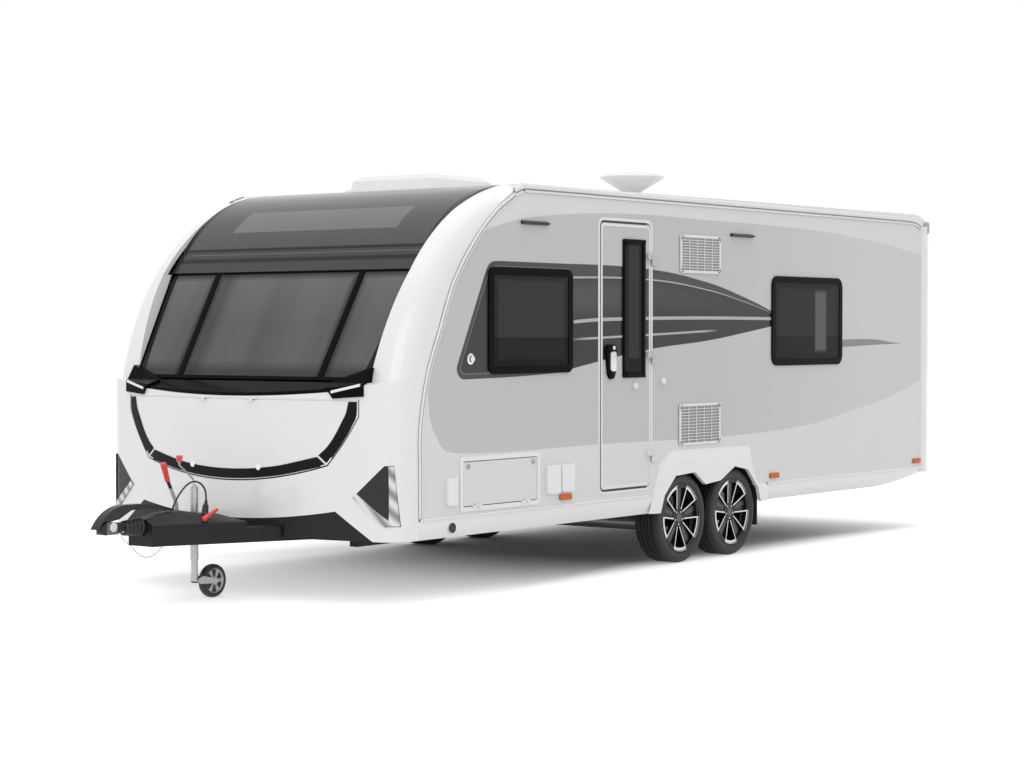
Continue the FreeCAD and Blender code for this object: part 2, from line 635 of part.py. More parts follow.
# side windows: dark frame and pane, seated in the walls
def side_window(hole):
    y0, y1, z0, z1, radius = hole
    lap = 14
    frame = frame_plate(y0 - lap, y1 + lap, z0 - lap, z1 + lap, radius + lap, lap + 34,
                        half_width + seam, half_width + 12)
    sash = frame_plate(y0 + 2, y1 - 2, z0 + 2, z1 - 2, radius - 2, 30, half_width - wall + 4, half_width + seam)
    glass = rounded_panel(y0 + 34, y1 - 34, z0 + 34, z1 - 34, max(radius - 34, 8), half_width - 16, half_width + 8)
    return frame.fuse(sash).removeSplitter(), glass


frames, panes = [], [rear_window]
for holes, mirrored in (((front_side_window, rear_side_window), False), (offside_windows, True)):
    for hole in holes:
        frame, glass = side_window(hole)
        frames.append(other_side(frame) if mirrored else frame)
        panes.append(other_side(glass) if mirrored else glass)
save("window_frames", Part.makeCompound(frames))
save("windows", Part.makeCompound(panes))

# fridge vents: y0, y1, z0, z1
vents = []
for y0, y1, z0, z1 in ((206, 737, 1999, 2265), (197, 736, 809, 1099)):
    vents.append(frame_plate(y0, y1, z0, z1, 18, 18, half_width + seam, half_width + 12))
    slats = 7
    pitch = (z1 - z0 - 36) / slats
    for k in range(slats):
        base = z0 + 18 + k * pitch
        vents.append(side_prism([(y0 + 10, base), (y1 - 10, base), (y1 - 10, base + pitch - 8),
                                 (y0 + 10, base + pitch - 8)], half_width + seam, half_width + 7))
save("fridge_vents", vents[0].fuse(vents[1:8]).fuse(vents[8:]))

# sockets and gas outlet: y0, y1, z0, z1
points = []
for y0, y1, z0, z1 in ((-2375, -2279, 559, 725), (-1361, -1220, 570, 752), (-1205, -1064, 575, 752)):
    points.append(rounded_panel(y0, y1, z0, z1, 14, half_width + seam, half_width + 22))

side_lamps = []
for y in (-1150, 1497, 3802):
    lamp = rounded_panel(y - 62, y + 62, 522, 560, 8, half_width + seam, half_width + 14)
    side_lamps += [lamp, other_side(lamp)]
save("side_marker_lamps", Part.makeCompound(side_lamps))

# awning lamps: thin wedges under the rail, (y0, y1, z)
awning_lamps = []
for y0, y1, z in ((-1621, -1340, 2262), (879, 1184, 2270)):
    wedge = [(half_width + seam, z), (half_width + 26, z + 8), (half_width + 26, z + 14), (half_width + seam, z + 26)]
    awning_lamps.append(front_prism(wedge, y0, y1))

# ------------------------------------------------------------------ doors
door = rounded_panel(door_front_y, door_rear_y, door_bottom_z, door_top_z, door_corner - reveal,
                     half_width - wall, half_width)
door_window = (-484, -236, 1299, 2200, 22)
y0, y1, z0, z1, r = door_window
door = door.cut(rounded_panel(y0, y1, z0, z1, r, half_width - wall - 5, half_width + 5))
for z in hinge_zs:
    arm = box(half_width, hinge_x, hinge_y - 60, hinge_y, z + 1, z + 40)
    barrel = cylinder(knuckle, (hinge_x, hinge_y, z + 1), Z_AXIS, 39)
    bore = cylinder(hinge_pin + hub_gap, (hinge_x, hinge_y, z), Z_AXIS, 41)
    door = door.fuse([arm, barrel]).cut(bore)
save("entrance_door", door.removeSplitter())
door_frame = frame_plate(y0 - 10, y1 + 10, z0 - 10, z1 + 10, r + 10, 40, half_width + seam, half_width + 10)
door_sash = frame_plate(y0 + 2, y1 - 2, z0 + 2, z1 - 2, r - 2, 28, half_width - wall + 4, half_width + seam)
door_window_frame = door_frame.fuse(door_sash).removeSplitter()
save("door_window_pane", rounded_panel(y0 + 30, y1 - 30, z0 + 30, z1 - 30, 6, half_width - 16, half_width + 6))
door_handle = rounded_panel(-712, -568, 1285, 1470, 16, half_width + seam, half_width + 24)
save("door_fittings", Part.makeCompound([door_window_frame, door_handle]))

locker_panel = rounded_panel(locker_hole[0] + reveal, locker_hole[1] - reveal, locker_hole[2] + reveal,
                             locker_hole[3] - reveal, 8, half_width - wall, half_width + 6)
locker_hinge = V(half_width + 14, 0, locker_hole[2] + 2)
locker_frame = frame_plate(locker_hole[0] - 28, locker_hole[1] + 28, locker_hole[2] - 28, locker_hole[3] + 28,
                           20, 28, half_width + seam, half_width + 8)
for y in (locker_hole[0] + 130, locker_hole[1] - 130):
    moving, fixed = hinge(locker_hinge + V(0, y, 0), Y_AXIS, V(0, 0, 14), V(0, 0, -12))
    locker_panel = locker_panel.fuse([moving, block(V(half_width + 8, y, locker_hinge.z + 12), V(14, 29, 5))])
    locker_frame = locker_frame.fuse([fixed, block(V(half_width + 8, y - 30, locker_hinge.z - 10), V(14, 30, 5)),
                                      block(V(half_width + 8, y + 30, locker_hinge.z - 10), V(14, 30, 5))])
save("front_locker_door", locker_panel)
save("service_fittings", Part.makeCompound(points + [locker_frame]))
cassette_panel = rounded_panel(cassette_hole[0] + reveal, cassette_hole[1] - reveal, cassette_hole[2] + reveal,
                               cassette_hole[3] - reveal, 8, half_width - wall, half_width + 6)
cassette_hinge = V(half_width + 14, cassette_hole[1] + 1, 0)
for z in (cassette_hole[2] + 80, cassette_hole[3] - 80):
    moving, fixed = hinge(cassette_hinge + V(0, 0, z), Z_AXIS, V(0, -14, 0), V(0, 12, 0))
    cassette_panel = cassette_panel.fuse([moving, block(V(half_width + 8, cassette_hinge.y - 12, z), V(14, 5, 29))])
    offside_wall = offside_wall.fuse([fixed, block(V(half_width + 7, cassette_hinge.y + 10, z - 30), V(16, 5, 30)),
                                      block(V(half_width + 7, cassette_hinge.y + 10, z + 30), V(16, 5, 30))])
save("cassette_door", other_side(cassette_panel))
save("offside_wall", other_side(offside_wall))

# ------------------------------------------------------------------ lamps on the front and the rear
# dark pods on the ends of the ledge, each with one light bar, (x, z)
pod_outline = [(703, 1290), (757, 1250), (791, 1203), (986, 1217), (986, 1384)]
bar_outline = [(783, 1234), (783, 1250), (972, 1292), (972, 1276)]
pod_proud, bar_proud, bar_depth = 14, 18, 6
pod_cap = side_prism([(ledge_high[0] - 40, ledge_high[1] - 10), (ledge_high[0] + 30, ledge_high[1] + 100),
                      (ledge_high[0] + 100, ledge_high[1] + 100), (ledge_high[0] + 100, ledge_high[1] - 10)],
                     0, half_width)
pod = lower_form(-pod_proud).fuse(pod_cap).common(front_prism(pod_outline, nose_apex_y - 60, nose_y + 100))
pod = pod.cut(lower_form(-seam)).cut(pillar_form(-seam))
for solid in (window_frame, side_pane):
    pod = pod.cut(solid)
light_bar = lower_form(-bar_proud).cut(lower_form(bar_depth - bar_proud))
light_bar = light_bar.common(front_prism(bar_outline, nose_apex_y - 60, nose_y + 60))
pod = max(pod.cut(light_bar).Solids, key=lambda part: part.Volume)
save("front_lamp_pods", both_sides(pod))
save("position_lamps", Part.makeCompound(awning_lamps + [light_bar, other_side(light_bar)]))

rear_face_y = rear_wall_y + rear_cap
rear_lamp_z = (660, 1010)
lamp_x = half_width - 245
rear_lamp = box(lamp_x, lamp_x + 125, rear_face_y + seam, rear_face_y + 22, rear_lamp_z[0], rear_lamp_z[1])
brake_lamp = box(-190, 190, rear_face_y + seam, rear_face_y + 14, 2310, 2340)
save("rear_lamps", Part.makeCompound([rear_lamp, other_side(rear_lamp), brake_lamp]))

# ------------------------------------------------------------------ rooflights and aerial
def rectangle(half, y0, y1, z):
    return Part.makePolygon([V(half, y0, z), V(half, y1, z), V(-half, y1, z), V(-half, y0, z), V(half, y0, z)])


def roof_dome(half, y0, y1, rise, rim):
    """A rooflight: a flat rim that follows the roof, under a dome with leaning sides."""
    plinth = side_prism([(y0 - rim, roof_z(y0 - rim) + seam), (y1 + rim, roof_z(y1 + rim) + seam),
                         (y1 + rim, roof_z(y1) + 22), (y0 - rim, roof_z(y0) + 22)], -half - rim, half + rim)
    base = roof_z(y0) + 18
    lean = rise * 0.55
    dome = Part.makeLoft([rectangle(half, y0, y1, base), rectangle(half - 14, y0 + 14, y1 - 14, base + rise * 0.55),
                          rectangle(half - lean, y0 + lean, y1 - lean, roof_z(y0) + rise)], True, True)
    return plinth.fuse(dome).removeSplitter()


domes = [roof_dome(main_light[0], main_light[1], main_light[2], 112, 20),
         roof_dome(rear_light[0], rear_light[1], rear_light[2], 62, 20)]
save("rooflights", Part.makeCompound(domes))

# television aerial: a shallow saucer on a short stem, turned from (radius, height above the roof)
aerial_x, aerial_y = 450, 750
saucer_radius = 235
stem_radius = 62
aerial_side = ((stem_radius, 74), (saucer_radius - 18, 168), (saucer_radius, 184), (saucer_radius - 22, 200), (90, 222))
aerial_z = roof_z(aerial_y)
aerial = cylinder(stem_radius, (aerial_x, aerial_y, aerial_z - 20), Z_AXIS, 94)
for low, high in zip(aerial_side[:-1], aerial_side[1:]):
    aerial = aerial.fuse(Part.makeCone(low[0], high[0], high[1] - low[1], V(aerial_x, aerial_y, aerial_z + low[1])))
under_roof = side_prism([(aerial_y - 300, 2400), (aerial_y + 300, 2400), (aerial_y + 300, roof_z(aerial_y + 300) + seam),
                         (aerial_y - 300, roof_z(aerial_y - 300) + seam)], aerial_x - 300, aerial_x + 300)
save("roof_aerial", aerial.removeSplitter().cut(under_roof))

# ------------------------------------------------------------------ chassis
rail_end_y = rear_wall_y - 250
tip_inner = arm_inner_x(drawbar_tip_y)
side_member = box(rail_x, rail_x + rail_width, drawbar_joint_y, rail_end_y, rail_bottom, rail_top)
arm = plan_prism([(rail_x, drawbar_joint_y + 1), (rail_x + rail_width, drawbar_joint_y + 1),
                  (rail_x + rail_width, drawbar_joint_y), (tip_inner + rail_width, drawbar_tip_y),
                  (tip_inner, drawbar_tip_y), (rail_x, drawbar_joint_y)], rail_top - arm_depth, rail_top)
save("chassis_side_members", both_sides(side_member.fuse(arm).removeSplitter()))

cross_members = []
for y in (drawbar_joint_y + 50, -1000, 1900, rail_end_y - 60):
    cross_members.append(box(-rail_x + fit, rail_x - fit, y, y + 60, rail_top - 80, rail_top))
cross_front, cross_back = arm_inner_x(jockey_y - 35) - fit, arm_inner_x(jockey_y + 35) - fit
jockey_cross = plan_prism([(cross_front, jockey_y - 35), (cross_back, jockey_y + 35), (-cross_back, jockey_y + 35),
                           (-cross_front, jockey_y - 35)], rail_top - 70, rail_top - 4)
jockey_cross = jockey_cross.cut(cylinder(jockey_outer_radius + fit, (0, jockey_y, rail_bottom), Z_AXIS, 300))
save("chassis_cross_members", Part.makeCompound(cross_members + [jockey_cross]))

# overrun housing between the arms, with the drawshaft that slides in it
housing_back_y = -3330
shaft_front_y = -3842
housing = box(-housing_half, housing_half, drawbar_tip_y - 90, housing_back_y, rail_top - 60, 495)
housing = housing.fuse(cylinder(shaft_radius, (0, drawbar_tip_y - 80, shaft_z), V(0, -1, 0),
                                drawbar_tip_y - 80 - shaft_front_y - fit))
brackets = [housing.removeSplitter()]
steady_pin = 8
steady_pivot_z = rail_top - 45
steady_x = 900
steady_ys = (("front", -2350, 1), ("rear", 3560, -1))
for place, y, way in steady_ys:
    for x in (steady_x, -steady_x):
        bracket = box(x - 31, x - 23, y - 30, y + 30, steady_pivot_z - 24, rail_top)
        bracket = bracket.fuse(box(x + 23, x + 31, y - 30, y + 30, steady_pivot_z - 24, rail_top))
        bracket = bracket.fuse(box(x - 31, x + 31, y - 30, y + 30, rail_top - 6, rail_top))
        brackets.append(bracket.fuse(cylinder(steady_pin, (x - 31, y, steady_pivot_z), X_AXIS, 62)))
save("chassis_fittings", Part.makeCompound(brackets))

# corner steadies, folded up against the floor
steady_length = 330
for place, y, way in steady_ys:
    for side, sign in (("nearside", 1), ("offside", -1)):
        x = sign * steady_x
        y0, y1 = sorted((y - way * 14, y + way * steady_length))
        leg = box(x - 18, x + 18, y0, y1, steady_pivot_z - 16, steady_pivot_z + 16)
        foot_y = y + way * steady_length
        foot = box(x - 45, x + 45, foot_y - 40, foot_y + 40, steady_pivot_z - 26, steady_pivot_z - 16)
        leg = leg.fuse(foot).cut(cylinder(steady_pin + hub_gap, (x - 20, y, steady_pivot_z), X_AXIS, 40))
        save("steady_" + place + "_" + side, leg.removeSplitter())

# ------------------------------------------------------------------ axles and wheels
axle_tube = 50
arm_x = 860                    # inner face of the trailing arms
arm_width = 40
drum_radius = 125
stub_radius = 32
tyre_middle_x = rim_face_x + 4 - tyre_width / 2
half_tyre = tyre_width / 2
flange_out = half_tyre - 9     # outer face of the rim flange, from the wheel's middle
bead_out = half_tyre - 17
hub_out = flange_out - 40      # how far out the hub bore reaches


def turned(section, y):
    """A nearside ring or disc, turned about its axle from (out, radius) points.

    out is measured outwards from the wheel's middle plane."""
    def place(point):
        return (tyre_middle_x + point[0], y, axle_z + point[1])
    steps = []
    for step in section:
        if step[0] == "arc":
            steps.append(("arc", place(step[1]), place(step[2])))
        else:
            steps.append(place(step))
    return Part.Face(wire(steps)).revolve(V(0, y, axle_z), X_AXIS, 360)


def axle(y):
    """One beam axle: tube under the chassis, trailing arms, drums and hub stubs."""
    beam_y = y + 170
    beam = cylinder(axle_tube, (-arm_x - 20, beam_y, rail_bottom - axle_tube - fit), X_AXIS, 2 * arm_x + 40)
    outline = [(y - 50, axle_z - 45), (beam_y + 60, rail_bottom - 110), (beam_y + 60, rail_bottom), (y - 50, axle_z + 45)]
    arm = side_prism(outline, arm_x, arm_x + arm_width)
    drum = cylinder(drum_radius, (arm_x + arm_width, y, axle_z), X_AXIS, 75)
    stub = cylinder(stub_radius, (arm_x + arm_width, y, axle_z), X_AXIS,
                    tyre_middle_x + hub_out - 1 - arm_x - arm_width)
    side = arm.fuse([drum, stub])
    return beam.fuse([side, other_side(side)]).removeSplitter()


save("axles", Part.makeCompound([axle(front_axle_y), axle(rear_axle_y)]))


def tyre(y):
    """A tyre with round side walls and shoulders."""
    low = rim_flange_radius + 1
    section = [(-bead_out, rim_radius), (bead_out, rim_radius), (bead_out, low),
               ("arc", (half_tyre, low + 31), (half_tyre - 8, tyre_radius - 16)),
               ("arc", (half_tyre - 17, tyre_radius - 5), (half_tyre - 34, tyre_radius)),
               (34 - half_tyre, tyre_radius),
               ("arc", (17 - half_tyre, tyre_radius - 5), (8 - half_tyre, tyre_radius - 16)),
               ("arc", (-half_tyre, low + 31), (-bead_out, low))]
    return turned(section, y)


# five fan-shaped windows between pairs of thin spokes, and a tapering pocket in each spoke
fan_count = 5
first_fan = -33                # degrees from straight up
fan_inner = (58, 7)            # radius, half angle
fan_outer = (222, 18)
pocket_inner = (72, 18)
pocket_outer = (213, 15)


def polar(y, radius, degrees):
    """(y, z) at an angle from straight up, towards the rear."""
    a = math.radians(degrees)
    return (y + radius * math.sin(a), axle_z + radius * math.cos(a))


def sector(y, middle, inner, outer, x0, x1):
    """A fan-shaped cutter between two radii, each with its own half angle."""
    outline = [polar(y, inner[0], middle - inner[1]), polar(y, outer[0], middle - outer[1]),
               ("arc", polar(y, outer[0], middle), polar(y, outer[0], middle + outer[1])),
               polar(y, inner[0], middle + inner[1])]
    return side_prism(outline, x0, x1)


def rim(y):
    """An alloy wheel: turned barrel with two flanges, dished face, hub pad and spokes."""
    b, f, seat = bead_out + fit, flange_out, rim_radius - fit
    barrel = turned([(-f, seat + 10), (-f, rim_flange_radius), (-b, rim_flange_radius), (-b, seat), (-58, seat),
                     (-44, seat - 13), (38, seat - 13), (52, seat), (b, seat), (b, rim_flange_radius),
                     (f, rim_flange_radius), (f, rim_flange_radius - 8), (b + 2.5, seat + 8), (b + 2.5, seat - 8),
                     (58, seat - 11), (44, seat - 24), (-50, seat - 24), (-64, seat - 11), (10 - f, seat - 8)], y)
    disc = turned([(f - 22, 0), (f - 22, 60), (f - 5, 200), (f - 4, seat + 11), (b + fit, seat + 11), (b + fit, seat - 2),
                   (f - 30, seat - 9), (f - 52, 60), (f - 52, 0)], y)
    pad = turned([(-20, 0), (-20, 70), (f - 40, 70), (f - 40, 0)], y)
    for k in range(fan_count):
        middle = first_fan + 360 / fan_count * k
        disc = disc.cut(sector(y, middle, fan_inner, fan_outer, tyre_middle_x, tyre_middle_x + f))
        disc = disc.cut(sector(y, middle + 180 / fan_count, pocket_inner, pocket_outer,
                               tyre_middle_x + f - 24, tyre_middle_x + f))
    wheel = barrel.fuse([disc, pad])
    bore_length = tyre_width + hub_out
    return wheel.cut(cylinder(stub_radius + hub_gap, (tyre_middle_x + hub_out - bore_length, y, axle_z), X_AXIS, bore_length))


for place, y in (("front", front_axle_y), ("rear", rear_axle_y)):
    one_tyre, one_rim = tyre(y), rim(y)
    save("tyre_" + place + "_nearside", one_tyre)
    save("tyre_" + place + "_offside", other_side(one_tyre))
    save("rim_" + place + "_nearside", one_rim)
    save("rim_" + place + "_offside", other_side(one_rim))

# ------------------------------------------------------------------ hitch
# drawbar cover, lofted through (y, half width, ridge half width, ridge z)
cover_bottom = 352
cover_shoulder_z = 475
cover_wall = 5
cover_sections = ((-3700, 100, 42, 508), (-3573, 141, 50, 534), (-3407, 216, 55, 541), (-3263, 281, 60, 518),
                  (-3150, 325, 80, 510))


def cover_form(inset, bottom):
    wires = []
    for y, half, ridge, top in cover_sections:
        if y == cover_sections[0][0]:
            y += inset
        h, r, z, shoulder = half - inset, ridge - inset * 0.4, top - inset, cover_shoulder_z - inset * 0.7
        wires.append(Part.makePolygon([V(h, y, bottom), V(h, y, shoulder), V(r, y, z), V(-r, y, z), V(-h, y, shoulder),
                                       V(-h, y, bottom), V(h, y, bottom)]))
    return Part.makeLoft(wires, True, True)


lever_x = -housing_half - fit  # inner face of the handbrake lever, beside the housing
lever_thickness = 8
lever_room = box(lever_x - lever_thickness - 5, lever_x + 5, -3380, -3318, 470, 570)
cover = cover_form(0, cover_bottom).cut(cover_form(cover_wall, cover_bottom - 1))
cover = cover.cut(cylinder(jockey_outer_radius + 0.7, (0, jockey_y, 400), Z_AXIS, 200)).cut(lever_room)
cover = cover.cut(cylinder(shaft_radius + 6, (0, -3600, shaft_z), V(0, -1, 0), 200))

# bellows round the drawshaft: ribs turned from (y, radius)
gaiter_y = (-3841.7, -3701)
gaiter_ribs = 5
valley_radius, rib_radius = 33, 44
rib_growth = 2.5               # each rib is a little larger than the one in front
pitch = (gaiter_y[1] - gaiter_y[0]) / gaiter_ribs
gaiter_side = [(gaiter_y[0], shaft_radius + fit), (gaiter_y[0], valley_radius)]
for k in range(gaiter_ribs):
    y = gaiter_y[0] + k * pitch
    grow = k * rib_growth
    gaiter_side += [(y + pitch * 0.35, rib_radius + grow), (y + pitch * 0.6, rib_radius + grow),
                    (y + pitch, valley_radius + grow)]
gaiter_side.append((gaiter_y[1], shaft_radius + fit))
gaiter_points = [V(0, y, shaft_z + r) for y, r in gaiter_side]
gaiter = Part.Face(Part.makePolygon(gaiter_points + gaiter_points[:1])).revolve(V(0, 0, shaft_z), Y_AXIS, 360)
save("overrun_gaiter", gaiter)

# coupling head: a cast nose round the ball socket, tapering to the drawshaft
head_half = 38
head_back_y = shaft_front_y
head_side = [(-4000, socket_mouth_z), (-3915, socket_mouth_z), (-3880, 450), (head_back_y, 452), (head_back_y, 498),
             (-3894, 505), (-3960, 512), ("arc", (-4012, 498), (-4030, 465)), ("arc", (-4022, 446), (-4000, socket_mouth_z))]
head_plan = [(head_half - 12, head_back_y), (head_half, -3915), (head_half, tow_y - 30), ("arc", (0, tow_y - 68),
             (-head_half, tow_y - 30)), (-head_half, -3915), (12 - head_half, head_back_y)]
head = side_prism(head_side, -head_half, head_half).common(plan_prism(head_plan, socket_mouth_z - 5, 520))
head = head.cut(cylinder(socket_radius, (0, tow_y, socket_mouth_z - 10), Z_AXIS, 10 + socket_depth))
knob_radius = 27
knob_y, knob_z = tow_y - 4, 484
for sign in (1, -1):
    head = head.fuse(cylinder(knob_radius, (sign * (head_half - 8), knob_y, knob_z), X_AXIS * sign, 30))
save("coupling_head", head.removeSplitter())

# stabiliser handle: a long curved lever over the head and the bellows
handle_half = 30
handle_side = [(-4060, 472), ("arc", (-3988, 552), (-3799, 599)), ("arc", (-3622, 590), (-3457, 552)), (-3462, 545.5),
               ("arc", (-3630, 568), (-3800, 567)), (-3894, 522), (-3960, 512.6), ("arc", (-4022, 505), (-4040, 470))]
save("coupling_handle", side_prism(handle_side, -handle_half, handle_half))

# handbrake lever: a flat bar with a grip
bar = side_prism([(-3366, 480), (-3336, 480), (-3354, 590), (-3428, 728), (-3446, 720), (-3378, 585)],
                 lever_x - lever_thickness, lever_x)
grip_start = V(lever_x - lever_thickness / 2, -3432, 712)
grip_end = V(lever_x - lever_thickness / 2, -3468, 816)
grip = Part.makeCylinder(15, (grip_end - grip_start).Length, grip_start, grip_end - grip_start)
save("handbrake_lever", bar.fuse(grip).removeSplitter())

def bent_rod(points, diameter):
    """A round rod or cable: straight runs joined by arcs, each as large as its two runs allow.

    Returns the solid, its length and its smallest bend radius."""
    points = [V(*p) for p in points]
    edges, radii = [], []
    here = points[0]
    for before, corner, after in zip(points[:-2], points[1:-1], points[2:]):
        into, out = corner - before, after - corner
        turn = into.getAngle(out)
        cut = 0.45 * min(into.Length, out.Length)
        radii.append(cut / math.tan(turn / 2))
        start = corner - V(into).normalize() * cut
        end = corner + V(out).normalize() * cut
        inwards = (V(out).normalize() - V(into).normalize()).normalize()
        middle = corner + inwards * (radii[-1] / math.cos(turn / 2) - radii[-1])
        edges += [Part.LineSegment(here, start).toShape(), Part.Arc(start, middle, end).toShape()]
        here = end
    edges.append(Part.LineSegment(here, points[-1]).toShape())
    path = Part.Wire(edges)
    ring = Part.Wire(Part.makeCircle(diameter / 2, points[0], points[1] - points[0]))
    return path.makePipeShell([ring], True, True), path.Length, min(radii)


# ------------------------------------------------------------------ jockey wheel
jockey_tube_top = 672
jockey_tube_bottom = 240
jockey_stem_radius = 20
jockey_bore = 21
tube_length = jockey_tube_top - jockey_tube_bottom
outer_tube = cylinder(jockey_outer_radius, (0, jockey_y, jockey_tube_bottom), Z_AXIS, tube_length)
outer_tube = outer_tube.cut(cylinder(jockey_bore, (0, jockey_y, jockey_tube_bottom - 1), Z_AXIS, tube_length - 19))
# crank: cap, bent rod and knob, which stays outside the gas locker lid's sweep
cap = cylinder(14, (0, jockey_y, jockey_tube_top - 1), Z_AXIS, 13)
crank, crank_length, crank_bend = bent_rod([(0, jockey_y, jockey_tube_top + 4), (0, jockey_y - 4, jockey_tube_top + 46),
                                            (0, -3385, 806), (0, -3385, 830)], 10)
knob = Part.makeCone(13, 19, 40, V(0, -3385, 824))
save("jockey_tube", outer_tube.fuse([cap, crank, knob]).removeSplitter())

stem_bottom = 150
save("jockey_stem", cylinder(jockey_stem_radius, (0, jockey_y, stem_bottom), Z_AXIS, 380))

# castor fork: boss under the stem, two cheeks and the wheel's pin
axle_y = jockey_y + jockey_trail
cheek = 5
cheek_x = jockey_wheel_width / 2 + 5
boss_top = stem_bottom - fit
fork = cylinder(jockey_stem_radius + 3, (0, jockey_y, 112), Z_AXIS, boss_top - 112)
fork = fork.fuse(box(-cheek_x - cheek, cheek_x + cheek, jockey_y, jockey_y + 24, 108, 118))
cheek_side = [(jockey_y, 104), (jockey_y + 6, 128), (jockey_y + 40, 138), (axle_y + 10, jockey_wheel_radius + 14),
              ("arc", (axle_y + 16, jockey_wheel_radius), (axle_y + 10, jockey_wheel_radius - 14)), (jockey_y + 18, 94)]
plate = side_prism(cheek_side, cheek_x, cheek_x + cheek)
fork = fork.fuse([plate, other_side(plate), cylinder(8, (-cheek_x - cheek, axle_y, jockey_wheel_radius), X_AXIS,
                                                     2 * (cheek_x + cheek))])
save("jockey_fork", fork.removeSplitter())

# solid-tyred wheel, turned from (x, radius), with a dished hub on each side
half_wheel = jockey_wheel_width / 2
wheel_side = [(half_wheel, 8 + hub_gap), (half_wheel, 22), (half_wheel - 9, 26), (half_wheel - 9, 70), (half_wheel - 2, 76),
              (half_wheel - 2, 86), ("arc", (half_wheel - 5, 97), (half_wheel - 15, jockey_wheel_radius))]
wheel_side += [(15 - half_wheel, jockey_wheel_radius), ("arc", (5 - half_wheel, 97), (2 - half_wheel, 86)),
               (2 - half_wheel, 76), (9 - half_wheel, 70), (9 - half_wheel, 26), (-half_wheel, 22), (-half_wheel, 8 + hub_gap)]


def on_jockey(point):
    return (point[0], axle_y, jockey_wheel_radius + point[1])


wheel_steps = [("arc", on_jockey(p[1]), on_jockey(p[2])) if p[0] == "arc" else on_jockey(p) for p in wheel_side]
roller = Part.Face(wire(wheel_steps)).revolve(V(0, axle_y, jockey_wheel_radius), X_AXIS, 360)
save("jockey_wheel", roller)

# ------------------------------------------------------------------ cables
def cord(name, points, diameter):
    """Save a cable, and print what its route comes to."""
    tube, length, smallest = bent_rod(points, diameter)
    ratio = tube.Volume / (math.pi * (diameter / 2) ** 2 * length)
    print(name, "length", round(length), "smallest radius", round(smallest), "volume ratio", round(ratio, 3))
    save(name, tube)


tow_cable_diameter = 11
plug_top = (72, -3236, 594)
cord("tow_cable", [(38, -3486, 539.4), (38, -3480, 556), (38, -3459, 598), (38, -3411, 654), (38, -3354, 698),
                   (39, -3298, 711), (46, -3252, 695), (58, -3230, 658), (65, -3229, 624), (71.6, -3235.4, 595.6)],
     tow_cable_diameter)

# plug, leaning in its holder on the cover: turned from (distance along, radius)
plug_foot = V(88, -3262, 519)
plug_axis = plug_foot - V(*plug_top)
plug_length = plug_axis.Length
plug_side = [(0, 0), (0, 8), (26, 11), (30, 17), (plug_length, 21), (plug_length, 0)]
plug_face = Part.Face(Part.makePolygon([V(r, 0, -d) for d, r in plug_side] + [V(0, 0, 0)]))
plug = plug_face.revolve(V(0, 0, 0), Z_AXIS, 360)
plug.Placement = FreeCAD.Placement(V(*plug_top), FreeCAD.Rotation(V(0, 0, -1), plug_axis))
save("tow_plug", plug)
holder_hole = Part.makeCylinder(21 + hub_gap, 40, plug_foot - V(plug_axis).normalize() * 20, plug_axis)
save("hitch_cover", cover.cut(holder_hole))

cord("breakaway_cable", [(0, -3860, 450.5), (1, -3853, 422), (3, -3836, 397), (6, -3806, 375), (8, -3772, 350),
                         (9, -3742, 320), (9, -3703, 294), (8, -3655, 282), (6, -3603, 291), (4, -3553, 318),
                         (2, -3516, 350), (0, -3497, rail_top - 62.5)], 4)
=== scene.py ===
# %% [markdown]
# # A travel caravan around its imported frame
#
# The CAD model gives every rigid piece its true size. Here each of them gets a finish, and the
# pieces that are too fine for CAD, such as tyre treads and lamp lenses, are modelled around it.

# %% Load the frame
import json
import math
import bmesh
import bpy
from mathutils import Matrix, Vector
from mathutils.bvhtree import BVHTree

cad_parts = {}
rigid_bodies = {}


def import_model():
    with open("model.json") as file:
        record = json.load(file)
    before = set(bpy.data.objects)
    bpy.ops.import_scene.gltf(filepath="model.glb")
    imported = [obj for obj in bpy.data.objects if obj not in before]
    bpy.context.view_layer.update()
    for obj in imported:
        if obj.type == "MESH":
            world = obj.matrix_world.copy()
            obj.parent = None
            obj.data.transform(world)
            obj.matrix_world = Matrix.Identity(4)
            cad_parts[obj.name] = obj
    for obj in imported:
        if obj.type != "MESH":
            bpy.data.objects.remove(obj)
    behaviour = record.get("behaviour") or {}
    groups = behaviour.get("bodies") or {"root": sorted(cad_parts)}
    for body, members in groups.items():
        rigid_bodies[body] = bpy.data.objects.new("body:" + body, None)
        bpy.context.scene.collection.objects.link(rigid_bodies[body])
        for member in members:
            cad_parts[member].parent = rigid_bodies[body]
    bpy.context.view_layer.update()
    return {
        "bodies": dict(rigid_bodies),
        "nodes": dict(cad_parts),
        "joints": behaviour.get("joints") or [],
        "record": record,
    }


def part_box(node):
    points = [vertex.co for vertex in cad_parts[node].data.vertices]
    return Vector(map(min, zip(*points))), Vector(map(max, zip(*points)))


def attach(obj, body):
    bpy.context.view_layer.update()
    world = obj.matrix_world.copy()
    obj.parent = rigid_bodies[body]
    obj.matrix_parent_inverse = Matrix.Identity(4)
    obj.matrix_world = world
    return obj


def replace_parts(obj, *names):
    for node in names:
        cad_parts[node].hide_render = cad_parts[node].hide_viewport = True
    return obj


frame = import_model()
nodes = frame["nodes"]

# %% [markdown]
# The camera stands off the near front corner at a little under a person's eye height, with a
# medium long lens, so the long side and the rounded front both show and upright lines stay upright.

# %% Camera
eye = Vector((9.4188, -12.709, 1.5953))
heading, tilt = math.radians(36.765), math.radians(90 - 1.3486)
camera_data = bpy.data.cameras.new("camera")
camera_data.lens, camera_data.sensor_width = 78.11, 36


